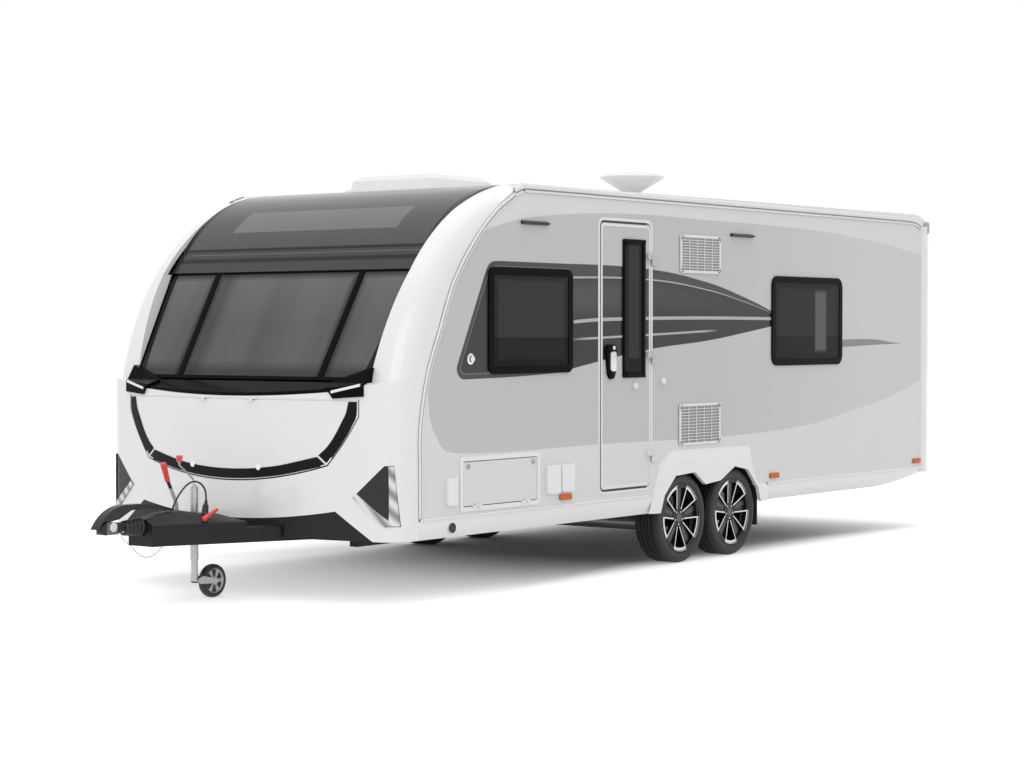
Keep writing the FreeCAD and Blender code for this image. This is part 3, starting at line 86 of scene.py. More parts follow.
def placed(name, data, where=(0, 0, 0), turn=(0, 0, 0)):
    """An object of this data, in the scene."""
    thing = bpy.data.objects.new(name, data)
    thing.location, thing.rotation_euler = where, turn
    bpy.context.scene.collection.objects.link(thing)
    return thing


bpy.context.scene.camera = placed("camera", camera_data, eye, (tilt, 0, heading))
print("lens", camera_data.lens, "eye", tuple(eye))

# %% [markdown]
# Shader maths reads best as sums. `Flow` wraps one output of a node, and its operators add Math
# nodes. `Finish` owns a material: it adds any other node, and feeds the principled shader.

# %% Shader sums
class Flow:
    """One shader value. Sums on it add Math nodes."""

    def __init__(self, finish, socket):
        self.finish, self.socket = finish, socket

    def math(self, operation, *others, clamp=False):
        settings = {"operation": operation, "use_clamp": clamp}
        return self.finish.add("ShaderNodeMath", settings, dict(enumerate((self, *others))))

    def __add__(self, other): return self.math("ADD", other)
    def __sub__(self, other): return self.math("SUBTRACT", other)
    def __mul__(self, other): return self.math("MULTIPLY", other)
    def __truediv__(self, other): return self.math("DIVIDE", other)
    def __rsub__(self, other): return (self * -1) + other
    __radd__, __rmul__ = __add__, __mul__

    def low(self, other): return self.math("MINIMUM", other)
    def high(self, other): return self.math("MAXIMUM", other)
    def size(self): return self.math("ABSOLUTE")
    def clip(self): return self.math("ADD", 0, clamp=True)

    def over(self, edge, soft=0.002):
        """1 above edge, 0 below it, with a soft step of that width."""
        return ((self - edge) / soft + 0.5).clip()

    def under(self, edge, soft=0.002):
        return 1 - self.over(edge, soft)

    def within(self, low, high, soft=0.002):
        return self.over(low, soft) * self.under(high, soft)


# %% Nodes by type
class Nodes:
    """A node tree whose nodes are added by type."""

    def __init__(self, tree):
        self.tree, self.coordinates = tree, None

    def put(self, socket, value):
        """Link a sum to a socket, or set its value; a number makes a neutral grey."""
        if isinstance(value, Flow):
            self.tree.links.new(value.socket, socket)
            return
        width = len(socket.default_value) if hasattr(socket.default_value, "__len__") else 0
        if width and isinstance(value, (int, float)):
            value = (value,) * 3
        socket.default_value = (*value, 1) if width == 4 else value

    def add(self, kind, settings=None, inputs=None, output=0):
        node = self.tree.nodes.new(kind)
        for name, value in (settings or {}).items():
            if name == "line":
                curve = node.mapping.curves[0]
                for place in value[1:-1]:
                    curve.points.new(*place)
                curve.points[0].location, curve.points[-1].location = value[0], value[-1]
                node.mapping.update()
            else:
                setattr(node, name, value)
        for name, value in (inputs or {}).items():
            self.put(node.inputs[name], value)
        return Flow(self, node.outputs[output])

    def split(self, vector):
        parts = self.add("ShaderNodeSeparateXYZ", {}, {0: vector}).socket.node.outputs
        return [Flow(self, part) for part in parts]

    def looked_at(self):
        """1 for rays from the camera and for those that a mirror or a glass sends on."""
        rays = self.add("ShaderNodeLightPath").socket.node.outputs
        kinds = [Flow(self, rays[f"Is {kind} Ray"]) for kind in ("Camera", "Glossy", "Transmission")]
        return (kinds[0] + kinds[1] + kinds[2]).low(1)

    def show(self, output, lit_by, seen):
        """Use one shader where the surface only gives light, and another where it is looked at."""
        chosen = self.add("ShaderNodeMixShader", {}, {0: self.looked_at(), 1: lit_by, 2: seen})
        self.put(self.tree.nodes[output].inputs["Surface"], chosen)


# %% A finish
class Finish(Nodes):
    """A material, with ways of shading it by place."""

    def __init__(self, name, colour, rough=0.5, metal=0.0, coat=0.0, coat_rough=0.1, ior=1.5):
        self.material = bpy.data.materials.new(name)
        self.material.use_nodes = True
        super().__init__(self.material.node_tree)
        self.shader = self.tree.nodes["Principled BSDF"]
        self.set(colour, rough, metal)
        for name, value in (("Coat Weight", coat), ("Coat Roughness", coat_rough), ("IOR", ior)):
            self.put(self.shader.inputs[name], value)

    def set(self, colour=None, rough=None, metal=None, bumps=None):
        """Feed the shader with values, colours or sums."""
        fed = {"Base Color": colour, "Roughness": rough, "Metallic": metal, "Normal": bumps}
        for name, value in fed.items():
            if value is not None:
                self.put(self.shader.inputs[name], value)
        return self

    def place(self, scale=None):
        """Object coordinates, in metres, or a scaled copy of them."""
        if self.coordinates is None:
            self.coordinates = self.add("ShaderNodeTexCoord", output="Object")
        if scale is None:
            return self.coordinates
        return self.add("ShaderNodeMapping", {}, {"Vector": self.coordinates, "Scale": scale})

    def xyz(self):
        return self.split(self.place())

    def noise(self, scale, detail=2, where=None):
        inputs = {"Vector": where or self.place(), "Scale": scale, "Detail": detail}
        return self.add("ShaderNodeTexNoise", {}, inputs)

    def cloudy(self, middle, spread, scale, detail=2):
        """A value that wanders round its middle over the surface."""
        return (self.noise(scale, detail) - 0.5) * spread + middle

    def scaled(self, colour, by):
        return self.add("ShaderNodeVectorMath", {"operation": "SCALE"}, {0: colour, "Scale": by})

    def mix(self, below, above, mask):
        return self.add("ShaderNodeMix", {"data_type": "RGBA"}, {0: mask, 6: below, 7: above}, output=2)

    def layers(self, colour, *coats):
        """Lay (colour, mask) coats over a colour, one after another."""
        for above, mask in coats:
            colour = self.mix(colour, above, mask)
        return colour

    def line(self, value, points):
        """A smooth line through (place, height) points, as a Float Curve."""
        low, high = points[0][0], points[-1][0]
        heights = [p[1] for p in points]
        base, rise = min(heights), max(max(heights) - min(heights), 1e-6)
        scaled = [((p[0] - low) / (high - low), (p[1] - base) / rise) for p in points]
        along = ((value - low) / (high - low)).clip()
        return self.add("ShaderNodeFloatCurve", {"line": scaled}, {"Value": along}) * rise + base

    def bump(self, height, distance):
        return self.add("ShaderNodeBump", {}, {"Height": height, "Distance": distance, "Strength": 1.0})

    def on(self, *names):
        """Put this finish on nodes or pieces by name."""
        for name in names:
            piece = nodes.get(name) or bpy.data.objects[name]
            piece.data.materials.clear()
            piece.data.materials.append(self.material)
        print(self.material.name, "on", *names)
        return self


def plain(name, colour, rough, spread=0.12, scale=40, rough_spread=0.1, peel=0.00003, peel_scale=900, **settings):
    """A finish with slight changes of colour and gloss, and a fine unevenness."""
    finish = Finish(name, colour, rough, **settings)
    finish.set(finish.scaled(colour, finish.cloudy(1, spread, scale, 4)),
               finish.cloudy(rough, rough_spread, scale * 7, 3))
    if peel:
        finish.set(bumps=finish.bump(finish.noise(peel_scale), peel))
    return finish


# %% [markdown]
# The cables come first, because where they lie decides the frame's own route. The caravan's
# lead leaves the cover behind the handbrake, loops over the hitch and drops into its holder. The
# thin breakaway cable hangs below the drawbar. Both repeat the CAD model's routes, in metres.

# %% Cables
def cable(name, route, diameter, finish):
    curve = bpy.data.curves.new(name, "CURVE")
    curve.dimensions = "3D"
    curve.bevel_depth, curve.bevel_resolution, curve.resolution_u = diameter / 2, 6, 12
    curve.use_fill_caps = True
    spline = curve.splines.new("NURBS")
    spline.points.add(len(route) - 1)
    for point, where in zip(spline.points, route):
        point.co = (*where, 1)
    spline.use_endpoint_u = True
    spline.order_u = 3
    curve.materials.append(finish.material)
    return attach(placed(name, curve), "caravan")


cable_rubber = plain("cable_rubber", (0.02, 0.02, 0.021), 0.42, 0.3, 90, 0.2, 0.0002)
breakaway_sheath = plain("breakaway_sheath", (0.1, 0.085, 0.085), 0.3, 0.4, 200, 0.2, 0.0001)

tow_route = [(0.038, -3.486, 0.5394), (0.038, -3.48, 0.556), (0.038, -3.459, 0.598), (0.038, -3.411, 0.654),
             (0.038, -3.354, 0.698), (0.039, -3.298, 0.711), (0.046, -3.252, 0.695), (0.058, -3.23, 0.658),
             (0.065, -3.229, 0.624), (0.0716, -3.2354, 0.5956)]
tow_lead = cable("tow_lead", tow_route, 0.011, cable_rubber)
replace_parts(tow_lead, "tow_cable")
breakaway_route = [(0, -3.86, 0.4505), (0.001, -3.853, 0.422), (0.003, -3.836, 0.397), (0.006, -3.806, 0.375),
                   (0.008, -3.772, 0.35), (0.009, -3.742, 0.32), (0.009, -3.703, 0.294), (0.008, -3.655, 0.282),
                   (0.006, -3.603, 0.291), (0.004, -3.553, 0.318), (0.002, -3.516, 0.35), (0, -3.497, 0.3775)]
breakaway = cable("breakaway", breakaway_route, 0.004, breakaway_sheath)
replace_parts(breakaway, "breakaway_cable")

# %% [markdown]
# The body is glass-fibre and aluminium under a glossy white coat. One finish could be a single
# flat colour, but real paint wanders a little in tone and gloss, so a faint noise drives both.

# %% White coat
shell = plain("shell_coat", (0.82, 0.815, 0.825), 0.22, 0.03, 3, 0.06, 0.00002, 300, coat=0.5, coat_rough=0.05)
shell.on("front_moulding", "gas_locker_lid", "roof_panel", "rear_panel", "awning_rails", "side_skirts",
         "wheel_arch_trims", "service_fittings")

# %% [markdown]
# The long sides are white, written a shade greyer than the front as painted shade, since they take
# less light. They carry a paler lower zone, a grey band and a plain sweep of stripes of like colours.
# They could be separate sheets laid on the wall, as vinyl is, but paint has no thickness to speak of.
# So each point's own place says which zone it is in, by smooth lines.

# %% Long sides
# the first grey is the white wall written greyer: painted shade of the long sides
side_shade_grey, band_grey, band_rear = (0.735, 0.73, 0.745), (0.555, 0.55, 0.565), (0.64, 0.635, 0.65)
sweep_grey = (0.062, 0.06, 0.064)
upper_line = [(-2.65, 1.75), (-1.96, 2.22), (-1.2, 2.34), (-0.21, 2.38), (0.48, 2.375), (1.51, 2.37), (2.62, 2.335),
              (3.95, 2.21)]
lower_line = [(-2.55, 1.32), (-2.45, 0.96), (-2.27, 0.868), (-0.78, 0.861), (1.48, 0.867), (2.75, 0.989),
              (3.95, 1.22)]
sweep_from, sweep_to = -1.1, 1.62
sweep_top_line = [(sweep_from, 2.03), (-0.137, 2.014), (0.511, 1.949), (1.018, 1.855), (sweep_to, 1.7)]
sweep_low_line = [(sweep_from, 1.352), (-0.933, 1.378), (-0.135, 1.479), (0.6, 1.535), (1.117, 1.593),
                  (sweep_to, 1.655)]
dart_from, dart_tip = 2.35, 3.515
surround_line = [(-2.3, 1.306), (-1.198, 1.336), (-0.933, 1.378), (-0.76, 1.401)]


def painted_sweep(finish, colour, y, z):
    """Dark stripes that narrow towards the rear, with three pale lines in them."""
    top, low = finish.line(y, sweep_top_line), finish.line(y, sweep_low_line)
    sweep = z.within(low, top, 0.004) * y.within(sweep_from, sweep_to, 0.004)
    share = (z - low) / (top - low).high(0.02)
    # painted sheen: a lighter reflection across the middle of the dark stripes, fading towards the rear
    painted_sheen = share.within(0.52, 0.84, 0.2) * (1 - (y + 1.1) / 2.4).clip()
    dark = finish.mix((0.026, 0.025, 0.027), (0.075, 0.072, 0.073), painted_sheen)
    middle = finish.line(y, [(sweep_from, 1.655), (0.3, 1.69), (sweep_to, 1.69)])
    lower = finish.line(y, [(sweep_from, 1.545), (0.3, 1.59), (sweep_to, 1.64)])
    bars = (z - middle).size().under(0.011, 0.003) * y.over(-1.05, 0.02)
    bars = bars.high((z - lower).size().under(0.007, 0.003) * y.within(-0.99, 0.62, 0.2))
    bars = bars.high((share - 0.87).size().under(0.009, 0.006))
    dark = finish.layers(dark, (sweep_grey, share.over(0.87, 0.01)), ((0.46, 0.455, 0.455), bars))
    return finish.mix(colour, dark, sweep)


def painted_dart(finish, colour, y, z):
    """A small grey dart behind the rear window."""
    dart = z.within(finish.line(y, [(dart_from, 1.47), (dart_tip, 1.5), (3.7, 1.502)]),
                    finish.line(y, [(dart_from, 1.52), (2.9, 1.538), (dart_tip, 1.503), (3.7, 1.5)]), 0.004)
    return finish.mix(colour, (0.26, 0.255, 0.265), dart * y.within(dart_from, dart_tip, 0.004))


def painted_surround(finish, colour, y, z):
    """A dark field with a thin pale line in it, round the front window."""
    slant = (y - ((z - 1.366) * 0.4924 - 2.275)) / 1.115
    foot = (y + z * 0.724 - (-2.233 + 1.308 * 0.724)) / 1.235
    inside = (2.03 - z).math("SMOOTH_MIN", slant, 0.1)
    inside = inside.math("SMOOTH_MIN", z - finish.line(y, surround_line), 0.05).math("SMOOTH_MIN", foot, 0.05)
    ahead_of = y.under(-1.095, 0.004)
    return finish.layers(colour, (sweep_grey, inside.over(0.001, 0.003) * ahead_of),
                         ((0.2, 0.198, 0.2), inside.within(0.03, 0.0345, 0.002) * ahead_of),
                         ((0.036, 0.034, 0.037), inside.over(0.0365, 0.003) * ahead_of))


side_coat = Finish("side_coat", side_shade_grey, 0.24, ior=1.35)
x, y, z = side_coat.xyz()
band = z.within(side_coat.line(y, lower_line), side_coat.line(y, upper_line), 0.006) * y.over(-2.55, 0.01)
side_colour = side_coat.mix(side_shade_grey, side_coat.mix(band_grey, band_rear, ((y - 0.5) / 2.5).clip()), band)
for painted in (painted_sweep, painted_dart, painted_surround):
    side_colour = painted(side_coat, side_colour, y, z)
side_coat.set(side_coat.scaled(side_colour, side_coat.cloudy(1, 0.03, 2.5, 3)), side_coat.cloudy(0.24, 0.06, 14, 3),
              bumps=side_coat.bump(side_coat.noise(260), 0.00002))
side_coat.on("nearside_wall", "offside_wall", "entrance_door", "fridge_vents", "front_locker_door",
             "cassette_door")

# %% [markdown]
# The dark pieces are gloss acrylic, grained plastic and painted or galvanised metal. Each could have
# its own nodes, but they differ only in numbers, so `plain` makes most of them. A second function
# makes a piece that changes from one finish to another along a line.

# %% Dark glass and plastics
def two_tone(name, below, above, mask, rough=0.4, metal=0.0, ior=1.3):
    """One finish that changes to another where mask(x, y, z) says so."""
    finish = Finish(name, below, rough, ior=ior)
    where = mask(*finish.xyz())
    tint = finish.scaled(finish.mix(below, above, where), finish.cloudy(1, 0.2, 50, 3))
    grain = finish.bump(finish.noise(700), 0.00004)
    return finish.set(tint, finish.cloudy(rough, 0.15, 90, 3), where * metal, grain)


# below the crease the front panel is darker and two black lines run across it: painted shade of the crease and of
# the moulded step under it; the panel's ends are black too
charcoal_grey, crease_height = (0.075, 0.071, 0.074), 2.125
charcoal = Finish("charcoal_gloss", charcoal_grey, 0.16, ior=1.3)
x, y, z = charcoal.xyz()
shaded_panel_tone = charcoal.mix(charcoal_grey, (0.048, 0.046, 0.048), z.under(crease_height, 0.01))
# the two painted shade lines of the step, and the black ends of the panel
lines = z.within(2.11, 2.128, 0.006).high(z.within(2.036, 2.062, 0.012)).high(x.size().over(0.99, 0.003))
charcoal.set(charcoal.mix(shaded_panel_tone, 0.008, lines), charcoal.cloudy(0.16, 0.04, 28, 3))
charcoal.on("front_upper_panel")
plain("charcoal_plastic", (0.016, 0.0145, 0.015), 0.42, 0.15, 60, ior=1.3).on("front_valance", "hitch_cover")
black_gloss = plain("black_gloss", 0.004, 0.12, 0.1, 20, 0.05, 0, ior=1.12)
black_gloss.on("window_frames", "front_window_frame", "front_lamp_pods", "door_fittings")
plain("smoked_lens", (0.028, 0.027, 0.028), 0.14, 0.4, 9, 0.05, 0, ior=1.3).on("corner_lamps")
plain("moulded_black", 0.022, 0.38, ior=1.4).on("coupling_handle", "overrun_gaiter", "tow_plug")
plain("milky_acrylic", 0.78, 0.2).on("rooflights", "roof_aerial")
rubber = plain("tyre_rubber", 0.022, 0.62, 0.2, 60, 0.15, 0.0002, peel_scale=600)
hands = (("nearside", 1), ("offside", -1))
corners = [f"{place}_{hand}" for place in ("front", "rear") for hand, sign in hands]
rubber.on(*(f"tyre_{corner}" for corner in corners), "jockey_wheel", "mudflaps")

# %% Metal and paint of the running gear
two_tone("coupling_metal", (0.028, 0.028, 0.03), (0.6, 0.6, 0.61),
         lambda x, y, z: x.size().over(0.0385), 0.3, 0.9).on("coupling_head")
two_tone("brake_lever_paint", (0.46, 0.46, 0.47), 0.02,
         lambda x, y, z: z.over(0.668)).on("handbrake_lever")
plain("floor_board", 0.1, 0.8).on("floor_panel", "gas_locker_box")
galvanised = plain("galvanised_zinc", (0.48, 0.49, 0.5), 0.42, 0.35, 45, 0.25, 0.00004, metal=0.85, peel_scale=300)
galvanised.on("chassis_fittings", "axles", *(f"steady_{corner}" for corner in corners), "jockey_tube",
              "jockey_stem", "jockey_fork")
# the side and cross members are black ahead of y = -2.2 and grey behind it
two_tone("chassis_grey_and_black", (0.4, 0.41, 0.42), (0.016, 0.016, 0.017),
         lambda x, y, z: y.under(-2.2), 0.42).on("chassis_side_members", "chassis_cross_members")

# %% [markdown]
# A lamp's lens is coloured plastic over a reflector. It could be clear glass with a bulb behind it,
# but from outside only its colour and its fine ribs show, so the ribs are bumps on a tinted gloss.

# %% Lamp lenses
plain("amber_lens", (0.62, 0.125, 0.012), 0.2, ior=1.3).on("side_marker_lamps")
two_tone("lamp_lenses", (0.88, 0.88, 0.89), (0.03, 0.03, 0.032), lambda x, y, z: z.over(2.0), 0.15,
         ior=1.18).on("position_lamps")

# the rear clusters are red above, amber between and clear below
red_lens, rib_pitch = (0.42, 0.015, 0.015), 0.006
lens = Finish("rear_lens", red_lens, 0.15, coat=0.5)
x, y, z = lens.xyz()
cluster = [v.co.z for v in nodes["rear_lamps"].data.vertices if v.co.z < 1.5]
foot, height = min(cluster), max(cluster) - min(cluster)
amber_part = z.within(foot + height * 0.3, foot + height * 0.48, 0.001)
clear_part = z.within(foot + height * 0.12, foot + height * 0.29, 0.001)
lens_colour = lens.layers(red_lens, ((0.6, 0.14, 0.012), amber_part), ((0.62, 0.6, 0.6), clear_part))
ribs = (z * (math.tau / rib_pitch)).math("SINE") + (x * (math.tau / rib_pitch)).math("SINE")
lens.set(lens_colour, lens.cloudy(0.15, 0.05, 30), bumps=lens.bump(ribs, 0.0004)).on("rear_lamps")
print("rear clusters", round(foot, 3), round(height, 3))

# %% [markdown]
# The windows are sheets of tinted acrylic with a dark room behind them. Clear sheets would need
# that room, so the glass is an opaque gloss, and what would be seen through it, such as curtains
# and the lighter window on the far side, is painted into its colour by place. Above a level line
# the panes are lighter, which is a painted reflection of the sky.

# %% Tinted acrylic windows
acrylic = Finish("tinted_acrylic", (0.03, 0.03, 0.031), 0.06, ior=1.18)
x, y, z = acrylic.xyz()
inner = y.within(-1.865, -1.165, 0.03).high(y.within(1.555, 2.42, 0.03)).high(x.under(0))
inner = inner * z.within(1.425, 1.915, 0.03)
# above z 1.56 the panes are lighter: a painted sky reflection
below_reflection_tone = acrylic.mix(0.003, (0.014, 0.013, 0.014), inner)
sky_reflection_tone = acrylic.mix((0.018, 0.017, 0.018), (0.038, 0.036, 0.038), inner)
curtain = y.within(2.1, 2.27, 0.03) * z.within(1.45, 1.9, 0.03)
tint = acrylic.layers(below_reflection_tone, (sky_reflection_tone, z.over(1.56, 0.004)), ((0.115, 0.111, 0.115), curtain),
                      (0, y.over(1.0) * (1 - curtain) * 0.35))
acrylic.set(tint, acrylic.cloudy(0.07, 0.04, 3)).on("windows")

door_tint = Finish("door_tint", (0.03, 0.03, 0.031), 0.06, ior=1.18)
x, y, z = door_tint.xyz()
lighter = y.within(-0.425, -0.3, 0.02) * z.over(1.42, 0.01)
door_tint.set(door_tint.mix(0.006, (0.036, 0.034, 0.036), lighter), door_tint.cloudy(0.07, 0.04, 3))
door_tint.on("door_window_pane")

# %% Front windows
pane_top = 2.1
front_tint = Finish("front_tint", 0.08, 0.06, ior=1.25)
x, y, z = front_tint.xyz()
across = x.size()
drape = (across - 0.3).size().under(0.16, 0.2).high((across - 0.86).size().under(0.1, 0.1))
folds = front_tint.noise(1.0, 1, front_tint.place((9, 0.6, 0.6)))
# the pale tone stands partly for the curtains behind the panes and partly for a painted sky reflection on their
# tilted glass
light = (0.092 + (folds - 0.5) * 0.03) + drape * 0.02 + z.over(1.8, 0.3) * 0.035
light = light * z.over(1.385, 0.06) + z.under(1.385, 0.06) * 0.05
light = light * (1 - x.within(-0.56, -0.44, 0.1) * 0.4)
# a black border is printed round each of the three panes
border = (across - 0.595).size().under(0.045, 0.05).high(z.over(1.935, 0.04))
light = light * (1 - border * z.under(pane_top) * 0.75)
pane_edge = front_tint.line(z, [(1.305, 0.905), (1.966, 0.972), (pane_top, 0.972)])
light = light * (1 - across.over(pane_edge, 0.004) * z.under(pane_top) * 0.92)
# what shows through the panes, with a painted sky reflection laid in
behind = front_tint.mix(0, (1, 0.975, 0.995), light)
# above z 2.21 the glass is written lighter: a painted reflection
front_tint.set(front_tint.mix(behind, (0.165, 0.16, 0.165), z.over(2.21, 0.004)), front_tint.cloudy(0.08, 0.04, 3))
front_tint.on("front_windows")

# %% [markdown]
# The fine pieces share a few ways of making a mesh. A turned piece is spun from its outline, a
# plate is a rounded rectangle that is bevelled and drawn out from the side, and a laid strip is a
# grid that is dropped on to a panel and thickened, so that it takes the panel's own curve.

# %% A piece from a mesh
close_enough = 0.00001
face_x = 1.2035                 # just off the outer face of a long side


def tidied(mesh):
    bmesh.ops.remove_doubles(mesh, verts=mesh.verts, dist=close_enough)
    bmesh.ops.recalc_face_normals(mesh, faces=mesh.faces)
    return mesh


def new_piece(name, mesh, finish, body="caravan", smooth=35):
    """A mesh object at the origin, from a bmesh, riding on a body."""
    data = bpy.data.meshes.new(name)
    tidied(mesh).to_mesh(data)
    mesh.free()
    for face in data.polygons:
        face.use_smooth = True
    data.set_sharp_from_angle(angle=math.radians(smooth))
    data.materials.append(finish.material)
    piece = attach(placed(name, data), body)
    print("made", name, "on", body, "faces", len(data.polygons))
    return piece


def joined(*meshes):
    """One bmesh from several."""
    whole = bmesh.new()
    for mesh in meshes:
        data = bpy.data.meshes.new("joining")
        mesh.to_mesh(data)
        mesh.free()
        whole.from_mesh(data)
        bpy.data.meshes.remove(data)
    return whole


# %% Turning, drawing out and cutting
def turned(outline, centre, axis, steps):
    """A bmesh turned about an axis through centre, from the (along, radius) points of its outline."""
    mesh = bmesh.new()
    along = Vector(axis).normalized()
    out = along.orthogonal().normalized() if abs(along.x) < 0.99 else Vector((0, 0, 1))
    points = [mesh.verts.new(Vector(centre) + along * a + out * r) for a, r in outline]
    edges = [mesh.edges.new(pair) for pair in zip(points, points[1:] + points[:1])]
    bmesh.ops.spin(mesh, geom=points + edges, cent=centre, axis=along, angle=math.tau, steps=steps, use_merge=True)
    return tidied(mesh)


def grid(columns, rows, matrix=Matrix()):
    mesh = bmesh.new()
    bmesh.ops.create_grid(mesh, x_segments=columns, y_segments=rows, size=0.5, matrix=matrix)
    return mesh


def drawn_out(mesh, way):
    """Give a sheet its thickness, by drawing all of its faces out."""
    drawn = bmesh.ops.extrude_face_region(mesh, geom=mesh.faces[:])["geom"]
    bmesh.ops.translate(mesh, verts=[g for g in drawn if isinstance(g, bmesh.types.BMVert)], vec=way)
    return mesh


def sliced(mesh, point, outwards, cut_off=False):
    """Cut every face that a plane crosses, and give the edges of the cut."""
    every = mesh.verts[:] + mesh.edges[:] + mesh.faces[:]
    return bmesh.ops.bisect_plane(mesh, geom=every, dist=0.000001, plane_co=point, plane_no=outwards,
                                  clear_outer=cut_off)["geom_cut"]


def cut_away(mesh, point, outwards):
    """Cut off what lies beyond a plane, and close the hole."""
    cut = sliced(mesh, point, outwards, True)
    bmesh.ops.holes_fill(mesh, edges=[g for g in cut if isinstance(g, bmesh.types.BMEdge)], sides=0)


def across_side(x, y, z):
    """Turns a unit grid to lie on a long side, at x and over two ranges."""
    return Matrix(((0, 0, 1, x), (y[1] - y[0], 0, 0, (y[0] + y[1]) / 2), (0, z[1] - z[0], 0, (z[0] + z[1]) / 2),
                   (0, 0, 0, 1)))


def side_plate(y, z, x, corner=0.01, frame=0, soft=0.0015):
    """A rounded plate on a long side, from its y, z and x ranges; frame leaves a ring that wide."""
    mesh = grid(1, 1, across_side(x[0], y, z))
    bmesh.ops.bevel(mesh, geom=mesh.verts[:], offset=corner, segments=6, profile=0.5, affect="VERTICES",
                    material=-1)
    if frame:
        inner = mesh.faces[:]
        bmesh.ops.inset_region(mesh, faces=inner, thickness=frame, use_even_offset=True, use_boundary=True)
        bmesh.ops.delete(mesh, geom=inner, context="FACES")
    drawn_out(mesh, (x[1] - x[0], 0, 0))
    if soft:
        rim = [e for e in mesh.edges if all(abs(v.co.x - x[1]) < 1e-6 for v in e.verts)
               and any(abs(f.calc_center_median().x - x[1]) > 1e-6 for f in e.link_faces)]
        bmesh.ops.bevel(mesh, geom=rim, offset=soft, segments=2, profile=0.5, affect="EDGES", material=-1)
    return mesh


# %% Following a line or a surface
def surface(name):
    """A search tree of a node, for finding places on it."""
    data = nodes[name].data
    return BVHTree.FromPolygons([v.co for v in data.vertices], [p.vertices for p in data.polygons])


def smooth_path(points, count):
    """Evenly spread points on a smooth line through a few."""
    points = [Vector(p) for p in points]
    ends = [points[0] * 2 - points[1]] + points + [points[-1] * 2 - points[-2]]
    spans = [(b - a).length for a, b in zip(points, points[1:])]
    path = []
    for k in range(count):
        left, i = sum(spans) * k / (count - 1), 0
        while i < len(spans) - 1 and left > spans[i]:
            left, i = left - spans[i], i + 1
        t, (a, b, c, d) = min(left / spans[i], 1), ends[i:i + 4]
        path.append((b * 2 + (c - a) * t + (a * 2 - b * 5 + c * 4 - d) * t * t
                     + (b * 3 - a - c * 3 + d) * t ** 3) / 2)
    return path


def laid_strip(one_edge, other_edge, node, along, thick=0.003, hand=1):
    """A strip between two edges of (x, z) points, dropped on to a node's front and thickened."""
    tree, lift, start_y = surface(node), 0.0004, -4
    one, other = smooth_path(one_edge, along + 1), smooth_path(other_edge, along + 1)
    mesh = grid(along, 3)
    for vert in mesh.verts:
        k = round((vert.co.x + 0.5) * along)
        flat = one[k].lerp(other[k], vert.co.y + 0.5)
        start = Vector((flat.x * hand, start_y, flat.y))
        hit = tree.ray_cast(start, Vector((0, 1, 0)))[0] or tree.find_nearest(start + Vector((0, 1.1, 0)))[0]
        vert.co = hit - Vector((0, lift + thick, 0))
    return drawn_out(mesh, (0, thick, 0))


def swept(path, profile, hand, back=(0.002, 0)):
    """A hollow rail along a (y, z) path on a long side, from a profile of (across, out) points.

    The back is the inner wall's shift, inwards and forwards."""
    rows, columns = len(path) + 1, len(profile) - 1
    mesh = grid(rows, columns)
    for vert in mesh.verts:
        row, column = round((vert.co.x + 0.5) * rows), round((vert.co.y + 0.5) * columns)
        i = min(max(row - 1, 0), len(path) - 1)
        along = (path[min(i + 1, len(path) - 1)] - path[max(i - 1, 0)]).normalized()
        across, out = profile[column]
        if row in (0, rows):
            out = min(out, 0)
        vert.co = (hand * (face_x + out), path[i].x - along.y * across, path[i].y + along.x * across)
    return drawn_out(mesh, (-hand * back[0], -back[1], 0))


# %% [markdown]
# A tyre is turned from its outline. Grooves run round the tread, and each rib is then cut into
# blocks by raising the face of every segment a little, which leaves a narrow slot between them.
# Bumps could show the blocks too, but not at the tyre's edge.

# %% Tyres
half_tyre, bead_out, tread = 0.1025, 0.0855, 0.3072
groove_deep, block_gap, block_rise = 0.007, 0.0016, 0.0027
tyre_side = [(bead_out, 0.2165), (bead_out, 0.2375), (0.0915, 0.2405), (0.0925, 0.2435), (0.0972, 0.2475),
             (0.0985, 0.2515), (0.1018, 0.26), (half_tyre, 0.269), (0.1015, 0.279), (0.0985, 0.2885),
             (0.0962, 0.29), (0.093, 0.2962), (0.088, 0.3012), (0.08, 0.3045), (0.07, tread)]
for outer, inner in ((0.0455, 0.0375), (0.016, 0.008)):
    tyre_side += [(outer, tread), (outer - 0.001, tread - groove_deep), (inner + 0.001, tread - groove_deep),
                  (inner, tread)]
tyre_outline = tyre_side + [(-a, r) for a, r in reversed(tyre_side)]


def tyre(centre):
    mesh = turned(tyre_outline, centre, (1, 0, 0), 108)

    def radius_of(point):
        return math.hypot(point.y - centre.y, point.z - centre.z)

    ribs = [f for f in mesh.faces if min(radius_of(v.co) for v in f.verts) > tread - 0.0008]
    bmesh.ops.inset_individual(mesh, faces=ribs, thickness=block_gap, depth=block_rise)
    shoulders = [f for f in mesh.faces if 0.083 < abs(f.calc_center_median().x - centre.x) < 0.0935
                 and radius_of(f.calc_center_median()) > 0.295]
    bmesh.ops.inset_individual(mesh, faces=shoulders, thickness=0.0022, depth=0.0016)
    return mesh


tyre_finish = plain("tyre_compound", (0.02, 0.02, 0.021), 0.6, 0.25, 40, 0.15, 0.00015, peel_scale=700)
for wheel in corners:
    low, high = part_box(f"tyre_{wheel}")
    tread_piece = new_piece(f"tread_{wheel}", tyre((Vector(low) + Vector(high)) / 2), tyre_finish, f"wheel_{wheel}")
    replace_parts(tread_piece, f"tyre_{wheel}")

# %% [markdown]
# The wheels are black with machined edges on the fans. Those faces could have a material of
# their own, but a mask that is bright where a raised edge faces outwards leaves the mesh as it is.
# Caps and bolts are pieces of their own.

